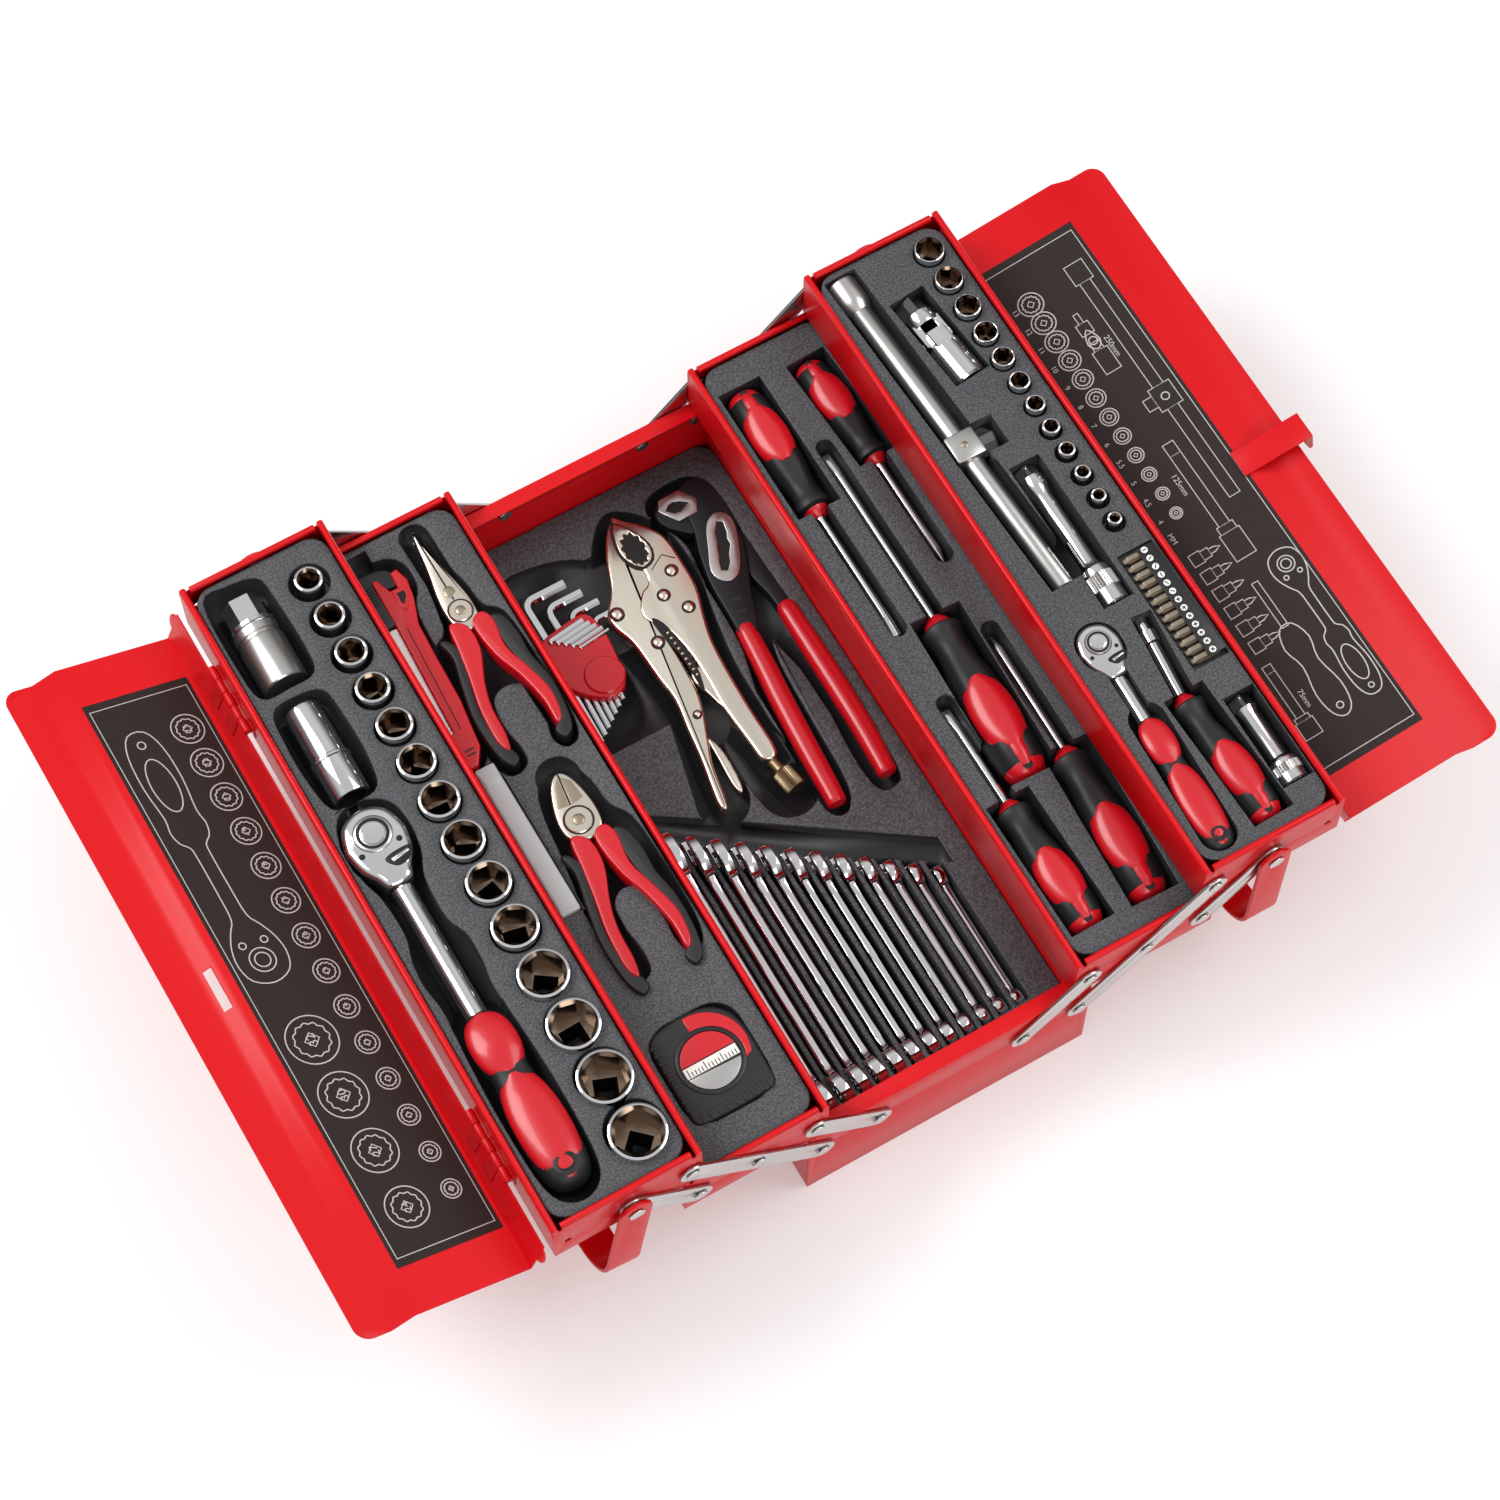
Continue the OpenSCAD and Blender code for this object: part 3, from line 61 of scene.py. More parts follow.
# Middle of each insert's top surface, in millimetres.
LEFT_TOP = Vector((-201.2, 0.0, 155.2))
RIGHT_TOP = Vector((201.2, 0.0, 155.2))
LEFT_MIDDLE = Vector((-123.4, 0.0, 115.3))
RIGHT_MIDDLE = Vector((123.4, 0.0, 115.3))
BASE = Vector((0.0, 0.0, 27.0))
X, Z = Vector((1, 0, 0)), Vector((0, 0, 1))
SIDES = ("left", "right")
# Sides that a turned or lofted part is drawn with.
ROUND = 48
# Turn of the camera about its own line of sight, in degrees.
ROLL = -0.26
# Foot of the half inch sockets below their insert's top.
LOW_BIG = -33.0
# Hinge axis of the lids out from the middle and above the floor, and their opening in degrees.
HINGE_OUT, HINGE_UP = 249.8, 140
LID_OPEN = {"left": 158, "right": 171}
# Height of the sticker's face over the hinge axis, with the lid shut.
CHART_HEIGHT = 25.66
# Socket sizes in the order in which they stand.
BIG_SIZES = [10, 11, 12, 13, 14, 15, 16, 17, 18, 19, 21, 22, 23, 24]
SMALL_SIZES = [13, 12, 11, 10, 9, 8, 7, 6, 5.5, 5, 4.5, 4]
# Each screwdriver's handle end, handle front, tip and handle width.
DRIVERS = [((-23, 192), (-23, 101), (-23, 13), 26), ((20, 190), (24, 114), (24, 40), 24),
           ((-4, -102), (0, 10), (0, 133), 30), ((-23, -195), (-24, -108), (-24, -41), 26),
           ((16, -197), (21, -96), (22, -14), 28)]


# ---------- sizes and colours a user may change ----------
class ToolboxShape(bpy.types.PropertyGroup):
    """Edge sizes of the pressed and moulded parts."""

    sheet_edge: FloatProperty(
        name="Sheet edge", description="Rounding of the pressed sheet's edges, in millimetres",
        default=0.35, min=0.05, max=1.0)
    insert_edge: FloatProperty(
        name="Insert edge", description="Rounding of the pocket mouths, in millimetres",
        default=0.9, min=0.1, max=2.0)
    stroke: FloatProperty(
        name="Chart stroke", description="Line width of the tool charts, in millimetres",
        default=0.75, min=0.3, max=2.0)
    socket_lip: FloatProperty(
        name="Socket lip", description="Width of the bright rounding round a socket's mouth, in millimetres",
        default=1.1, min=0.3, max=2.0)
    grip_swell: FloatProperty(
        name="Grip swell", description="How much the middle of a dipped grip is thicker than its ends",
        default=0.14, min=0.0, max=0.4, subtype="FACTOR")
    knurl_rows: IntProperty(
        name="Knurl ribs", description="Ribs round a knurled screw",
        default=30, min=12, max=60)


class ToolboxFinish(bpy.types.PropertyGroup):
    """Colours of the painted and moulded parts."""

    enamel: FloatVectorProperty(
        name="Enamel", description="Colour of the painted sheet and handles",
        subtype="COLOR", size=3, min=0, max=1, default=(0.62, 0.003, 0.007))
    grip: FloatVectorProperty(
        name="Grip", description="Colour of the red parts of the tool grips",
        subtype="COLOR", size=3, min=0, max=1, default=(0.56, 0.004, 0.012))
    insert: FloatVectorProperty(
        name="Insert", description="Colour of the moulded tool inserts",
        subtype="COLOR", size=3, min=0, max=1, default=(0.058, 0.059, 0.064))


# ---------- materials ----------
def lin(code):
    """An sRGB hex colour as linear red, green, blue and alpha."""
    parts = [int(code[i:i + 2], 16) / 255 for i in (1, 3, 5)]
    return [c / 12.92 if c <= 0.04045 else ((c + 0.055) / 1.055) ** 2.4 for c in parts] + [1.0]


def node(tree, kind, settings=None, values=None, links=None):
    """Adds a node, sets its properties and input values, and links its inputs."""
    made = tree.nodes.new(kind)
    for key, value in (settings or {}).items():
        setattr(made, key, value)
    for key, value in (values or {}).items():
        made.inputs[key].default_value = value
    for key, socket in (links or {}).items():
        tree.links.new(socket, made.inputs[key])
    return made


def plain(name, colour, rough, metal=0.0, coat=0.0, **more):
    """A material with one shader and no pattern yet: returns it, its tree and its shader."""
    made = bpy.data.materials.new(name)
    made.use_nodes = True
    tree = made.node_tree
    tree.nodes.clear()
    values = {"Base Color": colour, "Roughness": rough, "Metallic": metal, "Coat Weight": coat}
    values.update(more)
    shader = node(tree, "ShaderNodeBsdfPrincipled", values=values)
    node(tree, "ShaderNodeOutputMaterial", links={"Surface": shader.outputs["BSDF"]})
    return made, tree, shader


def bumped(tree, shader, height, strength, depth_mm):
    """Feeds a height pattern to the shader's normal."""
    bump = node(tree, "ShaderNodeBump", values={"Strength": strength, "Distance": depth_mm * MILLI},
                links={"Height": height})
    tree.links.new(bump.outputs["Normal"], shader.inputs["Normal"])


def grain(tree, size_mm, detail=2.0, stretch=(1, 1, 1)):
    """Noise on object coordinates whose grains are size_mm wide."""
    where = node(tree, "ShaderNodeTexCoord")
    spread = node(tree, "ShaderNodeMapping", values={"Scale": stretch},
                  links={"Vector": where.outputs["Object"]})
    return node(tree, "ShaderNodeTexNoise", values={"Scale": 1 / (size_mm * MILLI), "Detail": detail},
                links={"Vector": spread.outputs["Vector"]})


def shade(tree, fac, low, high, start=0.35, end=0.65):
    """A two-colour ramp driven by a pattern."""
    ramp = node(tree, "ShaderNodeValToRGB", links={"Fac": fac})
    ramp.color_ramp.elements[0].position, ramp.color_ramp.elements[0].color = start, low
    ramp.color_ramp.elements[1].position, ramp.color_ramp.elements[1].color = end, high
    return ramp


def make_materials(finish):
    """Every finish of the box and its tools, by a maker's name."""
    made = {}

    # Powder-sprayed enamel on mild steel: deep gloss red with a faint orange peel.
    red = list(finish.enamel) + [1]
    made["enamel"], tree, shader = plain("sprayed red enamel", red, 0.34,
                                           **{"Specular IOR Level": 0.26})
    # Orange peel is about 1.5 mm from crest to crest.
    bumped(tree, shader, grain(tree, 1.5).outputs["Fac"], 0.12, 0.02)

    # Bright nickel on cold-rolled strip: pale, softly blurred reflections.
    made["strip"], tree, shader = plain("nickel plated strip steel", lin("#c9c8c6"), 0.24, 1.0)
    # Rolling lines run along the strip, 0.6 mm apart.
    bumped(tree, shader, grain(tree, 0.6, stretch=(1, 1, 0.15)).outputs["Fac"], 0.08, 0.01)

    # Textured moulded ABS: dull charcoal with a pebbled grain that sparkles a little.
    made["insert"], tree, shader = plain("pebbled charcoal ABS", list(finish.insert) + [1], 0.62)
    # Real pebbling is 0.5 mm; drawn at 1.1 mm so that it shows.
    pebbles = grain(tree, 1.1, detail=1.0)
    ramp = shade(tree, pebbles.outputs["Fac"],
                 [c * 0.55 for c in finish.insert] + [1], [c * 1.55 for c in finish.insert] + [1], 0.38, 0.64)
    tree.links.new(ramp.outputs["Color"], shader.inputs["Base Color"])
    bumped(tree, shader, pebbles.outputs["Fac"], 0.55, 0.12)

    # The same ABS on the pocket faces: smoother from the mould, and darker as painted shade of the pockets.
    made["pocket"], tree, shader = plain("charcoal ABS in painted pocket shade", lin("#232326"), 0.5)

    # Satin printed vinyl film: nearly black brown.
    made["film"], tree, shader = plain("printed vinyl film", lin("#2b2321"), 0.6,
                                       **{"Specular IOR Level": 0.22})
    # Pale grey screen ink on the film.
    made["ink"], tree, shader = plain("pale screen ink", lin("#b9b4b0"), 0.5)

    # Hard chrome over polished steel: mirror with a cool white tint.
    made["chrome"], tree, shader = plain("polished chrome plate", lin("#dcdcde"), 0.07, 1.0)
    # Chrome over blasted steel: milky reflections.
    made["satin"], tree, shader = plain("satin chrome plate", lin("#c4c2bf"), 0.3, 1.0)
    # Fine blasting, drawn at 0.4 mm.
    bumped(tree, shader, grain(tree, 0.4).outputs["Fac"], 0.1, 0.01)
    # The broached recess is plated thinly, and its oil film reflects brown.
    made["bore"], tree, shader = plain("oiled broached steel", lin("#8d7968"), 0.2, 1.0)
    # Painted shade: near-black for holes, slits and gaps where shade falls; the same black serves printed
    # marks.
    made["shade_and_print_black"], tree, shader = plain("painted shade and black print", lin("#0b0a0a"), 0.7)
    # Warm nickel on forged steel.
    made["nickel"], tree, shader = plain("warm nickel plate", lin("#e0d8c8"), 0.22, 1.0)
    bumped(tree, shader, grain(tree, 0.8).outputs["Fac"], 0.08, 0.02)
    # Ground tool steel without plating.
    made["ground"], tree, shader = plain("ground tool steel", lin("#a89a88"), 0.35, 1.0)
    bumped(tree, shader, grain(tree, 0.7, stretch=(1, 0.1, 1)).outputs["Fac"], 0.15, 0.02)
    # Black oxide on forged steel: matte, slightly metallic.
    made["oxide"], tree, shader = plain("black oxide steel", lin("#26262a"), 0.45, 0.6)
    bumped(tree, shader, grain(tree, 0.9).outputs["Fac"], 0.15, 0.03)
    # Turned brass, dulled.
    made["brass"], tree, shader = plain("dull turned brass", lin("#8f8064"), 0.4, 1.0)

    # Dipped or moulded PVC: glossy red.
    made["red_grip"], tree, shader = plain("glossy red PVC", list(finish.grip) + [1], 0.3)
    shader.inputs["Coat Weight"].default_value = 0.25
    # Soft overmoulded rubber: black with a fine matte grain.
    made["black_grip"], tree, shader = plain("black moulded rubber", lin("#161618"), 0.5)
    bumped(tree, shader, grain(tree, 0.8).outputs["Fac"], 0.25, 0.05)
    # Moulded nylon: dark and smooth.
    made["nylon"], tree, shader = plain("black moulded nylon", lin("#1b1b1d"), 0.36)
    # Frosted polypropylene: milky and half clear.
    made["frost"], tree, shader = plain("frosted polypropylene", lin("#dfe2e2"), 0.35,
                                        **{"Transmission Weight": 0.35})
    # Matte white lacquer, for scales and bit marks.
    made["white"], tree, shader = plain("matte white lacquer", lin("#e9e7e2"), 0.5)
    # Bare phosphated bit steel: tan grey.
    made["bit_steel"], tree, shader = plain("phosphated bit steel", lin("#8f8474"), 0.42, 0.85)
    return made


MATERIALS = {}


# ---------- shaping ----------
def along(start, end, up=Z):
    """A matrix whose Z runs from start towards end, with its Y as near to up as it can be."""
    start, end = Vector(start), Vector(end)
    z = (end - start).normalized()
    x = up.cross(z)
    if x.length < 1e-6:
        x = X.copy()
    x.normalize()
    y = z.cross(x)
    turn = Matrix((x, y, z)).transposed().to_4x4()
    return Matrix.Translation(start) @ turn


def polygonal(sides):
    """Distance to the edge of a regular polygon whose inner radius is 1."""
    step = 2 * pi / sides
    return lambda angle: 1 / cos((angle % step) - step / 2)


def twelve_point(angle):
    """Two hexagons, one turned by thirty degrees, as in a ring spanner."""
    hexagon = polygonal(6)
    return max(hexagon(angle), hexagon(angle + pi / 6))


def circle(angle):
    return 1.0


def lobed(count, depth):
    """A round section with soft flutes."""
    return lambda angle: 1 + depth * cos(count * angle)


def pillow(power):
    """A rounded rectangle of unit half size."""
    return lambda a: (abs(cos(a)) ** power + abs(sin(a)) ** power) ** (-1 / power)


def ring(bm, place, wide, high=None, shape=circle, sides=ROUND, turn=0.0):
    """One closed loop of the given half sizes across a matrix's Z."""
    high = wide if high is None else high
    verts = bmesh.ops.create_circle(bm, segments=sides, radius=1.0)["verts"]
    for v in verts:
        angle = math.atan2(v.co.y, v.co.x)
        reach = shape(angle - turn)
        v.co = Vector((cos(angle) * reach * wide, sin(angle) * reach * high, 0))
    bmesh.ops.transform(bm, matrix=place, verts=verts)
    return list({e for v in verts for e in v.link_edges})


def loft(stations, caps=True, sides=ROUND):
    """A skin over loops: each station is (matrix, half width, half height, section)."""
    bm = bmesh.new()
    loops = [ring(bm, s[0], s[1], s[2], *(s[3:4] or (circle,)), sides=sides) for s in stations]
    for first, second in zip(loops, loops[1:]):
        bmesh.ops.bridge_loops(bm, edges=first + second)
    if caps:
        for loop in (loops[0], loops[-1]):
            bmesh.ops.edgeloop_fill(bm, edges=loop)
    return bm


def turned(profile, start, end, steps=ROUND):
    """Spins a profile of (distance along, radius) about the line from start to end."""
    bm = bmesh.new()
    verts = [bm.verts.new((r, 0, z)) for z, r in profile]
    edges = [bm.edges.new(pair) for pair in zip(verts, verts[1:])]
    bmesh.ops.spin(bm, geom=verts + edges, cent=(0, 0, 0), axis=(0, 0, 1), dvec=(0, 0, 0),
                   angle=2 * pi, steps=steps, use_merge=True, use_duplicate=False)
    bmesh.ops.remove_doubles(bm, verts=bm.verts, dist=1e-4)
    bmesh.ops.transform(bm, matrix=along(start, end), verts=bm.verts)
    return bm


def rod(start, end, radius, edge=0.5, far=None, steps=32):
    """A round bar with eased ends, tapering to far when it is given."""
    long = (Vector(end) - Vector(start)).length
    far = radius if far is None else far
    profile = [(0, 0), (0, radius - edge), (edge * 0.3, radius - edge * 0.3), (edge, radius),
               (long - edge, far), (long - edge * 0.3, far - edge * 0.3), (long, far - edge), (long, 0)]
    return turned(profile, start, end, steps)


def sections(way, rows, sides=ROUND):
    """A skin along a matrix's Z: each row is (distance, half width, half height, section)."""
    return loft([(way @ Matrix.Translation((0, 0, row[0])), *row[1:]) for row in rows], sides=sides)


def between(p0, p1, p2, p3, steps):
    """Points of a smooth curve from p1 up to p2, with p0 and p3 as its neighbours."""
    return [0.5 * (2 * p1 + (p2 - p0) * t + (2 * p0 - 5 * p1 + 4 * p2 - p3) * t ** 2
                   + (3 * p1 - p0 - 3 * p2 + p3) * t ** 3)
            for t in (step / steps for step in range(steps))]


def eased(points, steps=4):
    """A smooth closed outline through the given plan points."""
    out, count = [], len(points)
    for i in range(count):
        out += between(*(Vector(points[(i + k - 1) % count]) for k in range(4)), steps)
    return out


def arc(centre, radius, start, stop, step):
    """Plan points on an arc; its angles are in degrees."""
    return [(centre[0] + radius * cos(a), centre[1] + radius * sin(a))
            for a in (radians(d) for d in range(start, stop, step))]


def plate(outline, low, high, edge=0.6, holes=(), place=None):
    """A flat plate with plan outline and holes, and rounded rims."""
    bm = bmesh.new()
    edges = []
    for loop in [outline] + list(holes):
        verts = [bm.verts.new((p[0], p[1], low)) for p in loop]
        edges += [bm.edges.new((verts[i - 1], verts[i])) for i in range(len(verts))]
    if holes:
        bmesh.ops.triangle_fill(bm, use_beauty=True, use_dissolve=False, edges=edges, normal=(0, 0, 1))
    else:
        bmesh.ops.edgeloop_fill(bm, edges=edges)
    faces = list(bm.faces)
    raised = bmesh.ops.extrude_face_region(bm, geom=faces)
    top = [g for g in raised["geom"] if isinstance(g, bmesh.types.BMVert)]
    bmesh.ops.translate(bm, vec=(0, 0, high - low), verts=top)
    bmesh.ops.recalc_face_normals(bm, faces=bm.faces)
    if edge:
        rims = [e for e in bm.edges if len(e.link_faces) == 2 and e.calc_face_angle(0) > radians(60)
                and abs(e.verts[0].co.z - e.verts[1].co.z) < 1e-5]
        bmesh.ops.bevel(bm, geom=rims, offset=edge, offset_type="OFFSET", affect="EDGES",
                        segments=3, profile=0.5, material=-1, clamp_overlap=False)
    if place:
        bmesh.ops.transform(bm, matrix=place, verts=bm.verts)
    return bm


def block(low, high, edge=0.6, place=None):
    """A box between two corners with rounded edges."""
    bm = bmesh.new()
    low, high = Vector(low), Vector(high)
    bmesh.ops.create_cube(bm, size=1.0)
    bmesh.ops.scale(bm, vec=high - low, verts=bm.verts)
    bmesh.ops.translate(bm, vec=(low + high) / 2, verts=bm.verts)
    if edge:
        bmesh.ops.bevel(bm, geom=list(bm.edges), offset=edge, offset_type="OFFSET", affect="EDGES",
                        segments=2, profile=0.5, material=-1, clamp_overlap=True)
    if place:
        bmesh.ops.transform(bm, matrix=place, verts=bm.verts)
    return bm


def dome(centre, size, steps=24):
    """An ellipsoid, used as a domed rivet or as an inlay that stands just proud of a grip."""
    bm = bmesh.new()
    bmesh.ops.create_uvsphere(bm, u_segments=steps, v_segments=steps // 2, radius=1.0)
    bmesh.ops.scale(bm, vec=size, verts=bm.verts)
    bmesh.ops.translate(bm, vec=centre, verts=bm.verts)
    return bm


def spun(centre, radius, count=ROUND, shape=circle, turn=0.0):
    """Plan points of a round, hexagonal or toothed outline."""
    return [(centre[0] + radius * shape(2 * pi * i / count - turn) * cos(2 * pi * i / count),
             centre[1] + radius * shape(2 * pi * i / count - turn) * sin(2 * pi * i / count))
            for i in range(count)]


def blend(form, f):
    """The value at f of a list of (fraction, value) points."""
    for (f0, k0), (f1, k1) in zip(form, form[1:]):
        if f <= f1:
            return k0 + (k1 - k0) * max(f - f0, 0) / (f1 - f0)
    return form[-1][1]


def inlay(way, long, crown, span, wide, proud=0.35, blunt=0.5):
    """A raised oval on a grip; way and long give the grip's axis and crown its height along it."""
    stations = []
    for step in range(17):
        u = -cos(pi * step / 16)
        f = span[0] + (span[1] - span[0]) * (u + 1) / 2
        reach = max(1 - u * u, 0) ** blunt
        high = blend(crown, f)
        deep = high * 0.55
        sink = (1 - min(reach * 4, 1)) * proud * 1.5
        stations.append((way @ Matrix.Translation((0, high + proud - deep - sink, f * long)),
                         max(wide * reach, 0.3), deep))
    return loft(stations, sides=32)


def assemble(name, parts, stands_for, at=Vector((0, 0, 0)), sharp=35, body=None):
    """Joins shaped parts, each with its finish, into one object on its CAD body."""
    mesh = bpy.data.meshes.new(name)
    total = bmesh.new()
    order = []
    for bm, finish in parts:
        if finish not in order:
            order.append(finish)
            mesh.materials.append(MATERIALS[finish])
        bmesh.ops.remove_doubles(bm, verts=bm.verts, dist=1e-4)
        bmesh.ops.recalc_face_normals(bm, faces=bm.faces)
        for face in bm.faces:
            face.material_index = order.index(finish)
            face.smooth = True
        piece = bpy.data.meshes.new("piece")
        bm.to_mesh(piece)
        bm.free()
        total.from_mesh(piece)
        bpy.data.meshes.remove(piece)
    bmesh.ops.translate(total, vec=at, verts=total.verts)
    bmesh.ops.scale(total, vec=(MILLI, MILLI, MILLI), verts=total.verts)
    total.to_mesh(mesh)
    total.free()
    mesh.set_sharp_from_angle(angle=radians(sharp))
    return settle(name, mesh, stands_for, body)


def settle(name, mesh, stands_for, body=None):
    """Links a finished mesh; it rides with its own body or that of the node it stands for."""
    made = bpy.data.objects.new(name, mesh)
    bpy.context.scene.collection.objects.link(made)
    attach(made, body or BODY_OF[stands_for])
    if stands_for:
        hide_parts(stands_for)
    return made


def carved(mesh, cuts, at):
    """A mesh with recesses sunk into it; each cut is a plan outline and a depth, in millimetres."""
    solid = bpy.data.objects.new("solid", mesh)
    bpy.context.scene.collection.objects.link(solid)
    cutters = []
    for outline, depth in cuts:
        bm = plate(outline, -depth, 3, 0)
        bmesh.ops.translate(bm, vec=at, verts=bm.verts)
        bmesh.ops.scale(bm, vec=(MILLI, MILLI, MILLI), verts=bm.verts)
        bmesh.ops.recalc_face_normals(bm, faces=bm.faces)
        shape = bpy.data.meshes.new("cutter")
        bm.to_mesh(shape)
        bm.free()
        cutter = bpy.data.objects.new("cutter", shape)
        bpy.context.scene.collection.objects.link(cutter)
        step = solid.modifiers.new("recess", "BOOLEAN")
        step.operation, step.solver, step.object = "DIFFERENCE", "EXACT", cutter
        cutters.append(cutter)
    bpy.context.view_layer.update()
    done = bpy.data.meshes.new_from_object(solid.evaluated_get(bpy.context.evaluated_depsgraph_get()))
    for spare in [solid] + cutters:
        bpy.data.objects.remove(spare)
    return done


def finished(node_name, finish, edge, limit=40, sharp=30, cuts=(), at=None, painted_shade_inside=None):
    """A merged copy of a CAD node with eased edges and its real finish; a second, darker finish may be given
    for the faces lying more than 0.8 mm below at, as painted shade in the pockets.
    """
    mesh = FRAME["nodes"][node_name].data.copy()
    bm = bmesh.new()
    bm.from_mesh(mesh)
    bmesh.ops.remove_doubles(bm, verts=bm.verts, dist=1e-6)
    bmesh.ops.dissolve_limit(bm, angle_limit=radians(0.5), verts=bm.verts, edges=bm.edges)
    bm.to_mesh(mesh)
    bm.free()
    if cuts:
        mesh = carved(mesh, cuts, at)
    mesh.materials.clear()
    mesh.materials.append(MATERIALS[finish])
    bm = bmesh.new()
    bm.from_mesh(mesh)
    if edge:
        if cuts:
            bmesh.ops.remove_doubles(bm, verts=bm.verts, dist=2e-5)
            bmesh.ops.dissolve_limit(bm, angle_limit=radians(0.5), verts=bm.verts, edges=bm.edges)
        hard = [e for e in bm.edges if len(e.link_faces) == 2 and e.calc_face_angle(0) > radians(limit)]
        if at:
            hard = [e for e in hard if min(v.co.z for v in e.verts) > (at.z - 0.1) * MILLI]
        bmesh.ops.bevel(bm, geom=hard, offset=edge * MILLI, offset_type="OFFSET", affect="EDGES",
                        segments=2, profile=0.5, material=-1, clamp_overlap=False)
    for face in bm.faces:
        face.smooth = True
        face.material_index = 0
    # Faces sunk into pockets take the darker finish: painted shade.
    if painted_shade_inside:
        mesh.materials.append(MATERIALS[painted_shade_inside])
        for face in bm.faces:
            if face.calc_center_median().z < (at.z - 0.8) * MILLI:
                face.material_index = 1
    bmesh.ops.triangulate(bm, faces=[f for f in bm.faces if len(f.verts) > 4])
    bm.to_mesh(mesh)
    bm.free()
    mesh.set_sharp_from_angle(angle=radians(sharp))
    return settle(node_name + "_finish", mesh, node_name)


# ---------- stage ----------
class TOOLBOX_OT_stage(bpy.types.Operator):
    """Lay a pale floor and soft studio light, and set the camera above the open box"""

    bl_idname = "toolbox.stage"
    bl_label = "Floor, light and camera"

    def execute(self, context):
        scene = context.scene
        scene.view_settings.view_transform = "Standard"

        world = bpy.data.worlds.new("studio")
        world.use_nodes = True
        tree = world.node_tree
        tree.nodes.clear()
        where = node(tree, "ShaderNodeTexCoord")
        height = node(tree, "ShaderNodeSeparateXYZ", links={"Vector": where.outputs["Generated"]})
        ramp = node(tree, "ShaderNodeValToRGB", links={"Fac": height.outputs["Z"]})
        steps = [(0.0, "#55504c"), (0.16, "#4a4643"), (0.42, "#8d8a88"), (0.62, "#d6d6d6"), (0.8, "#f4f4f4"),
                 (1.0, "#e4e4e6")]
        ramp.color_ramp.elements[0].color = lin(steps[0][1])
        ramp.color_ramp.elements[1].color = lin(steps[-1][1])
        for place, colour in steps[1:-1]:
            ramp.color_ramp.elements.new(place).color = lin(colour)
        sky = node(tree, "ShaderNodeBackground", values={"Strength": 0.85},
                   links={"Color": ramp.outputs["Color"]})
        node(tree, "ShaderNodeOutputWorld", links={"Surface": sky.outputs["Background"]})
        scene.world = world

        floor_mesh = bpy.data.meshes.new("floor")
        bm = bmesh.new()
        bmesh.ops.create_grid(bm, x_segments=1, y_segments=1, size=6.0)
        bm.to_mesh(floor_mesh)
        bm.free()
        paint, tree, shader = plain("white studio paper", lin("#e0e0e0"), 0.9)
        shader.inputs["Emission Color"].default_value = lin("#ffffff")
        shader.inputs["Emission Strength"].default_value = 0.22
        floor_mesh.materials.append(paint)
        floor = bpy.data.objects.new("floor", floor_mesh)
        scene.collection.objects.link(floor)

        for name, place, size, power in [("key_light", (-1.3, 1.1, 2.1), 1.4, 42),
                                         ("fill_light", (1.6, -0.6, 2.0), 1.6, 22),
                                         ("front_light", (-0.3, -2.2, 1.6), 1.2, 16)]:
            lamp = bpy.data.lights.new(name, "AREA")
            lamp.size, lamp.energy = size, power
            holder = bpy.data.objects.new(name, lamp)
            holder.location = place
            holder.rotation_euler = (Vector((0, 0, 0.08)) - Vector(place)).to_track_quat("-Z", "Y").to_euler()
            scene.collection.objects.link(holder)

        lens = bpy.data.cameras.new("camera")
        lens.lens, lens.sensor_width = 99.356, 36
        lens.clip_start, lens.clip_end = 0.05, 20
        camera = bpy.data.objects.new("camera", lens)
        camera.location = (-0.479485, -0.832134, 2.220169)
        look = Vector((-0.001977, 0.002724, 0.080)) - Vector(camera.location)
        aim = look.to_track_quat("-Z", "Y").to_matrix().to_4x4()
        camera.rotation_euler = (aim @ Matrix.Rotation(radians(ROLL), 4, "Z")).to_euler()
        scene.collection.objects.link(camera)
        scene.camera = camera
        return {"FINISHED"}


# ---------- box ----------
class TOOLBOX_OT_sheet(bpy.types.Operator):
    """Enamel the base, trays and lids, and ease the edges of their sheet"""

    bl_idname = "toolbox.sheet"
    bl_label = "Enamelled sheet"

    def execute(self, context):
        edge = context.scene.toolbox_shape.sheet_edge
        names = ["base_pan", "base_ends"]
        names += [f"{side}_{tray}_{part}" for side in SIDES for tray in ("middle", "top")
                  for part in ("shell", "ends")]
        for name in names + ["left_lid", "right_lid"]:
            finished(name, "enamel", edge)
        return {"FINISHED"}


class TOOLBOX_OT_links(bpy.types.Operator):
    """Plate the scissor links and rivets, and enamel the hinge knuckles and the hasp"""

    bl_idname = "toolbox.links"
    bl_label = "Links, rivets and hinges"

    def execute(self, context):
        for side in SIDES:
            for part in ("long_links", "lower_links", "upper_links"):
                finished(f"{side}_{part}", "strip", 0.25)
            for part in ("middle_rivets", "top_rivets", "handle_rivets"):
                finished(f"{side}_{part}", "strip", 0.2)
            finished(f"{side}_tray_hinges", "enamel", 0.15)
            finished(f"{side}_lid_knuckles", "enamel", 0.15)
        finished("base_rivets", "strip", 0.2)
        finished("hasp", "enamel", 0.25)
        return {"FINISHED"}


class TOOLBOX_OT_handles(bpy.types.Operator):
    """Enamel the two strap handles"""

    bl_idname = "toolbox.handles"
    bl_label = "Strap handles"

    def execute(self, context):
        for side in SIDES:
            finished(f"{side}_handle", "enamel", 0.7)
        return {"FINISHED"}


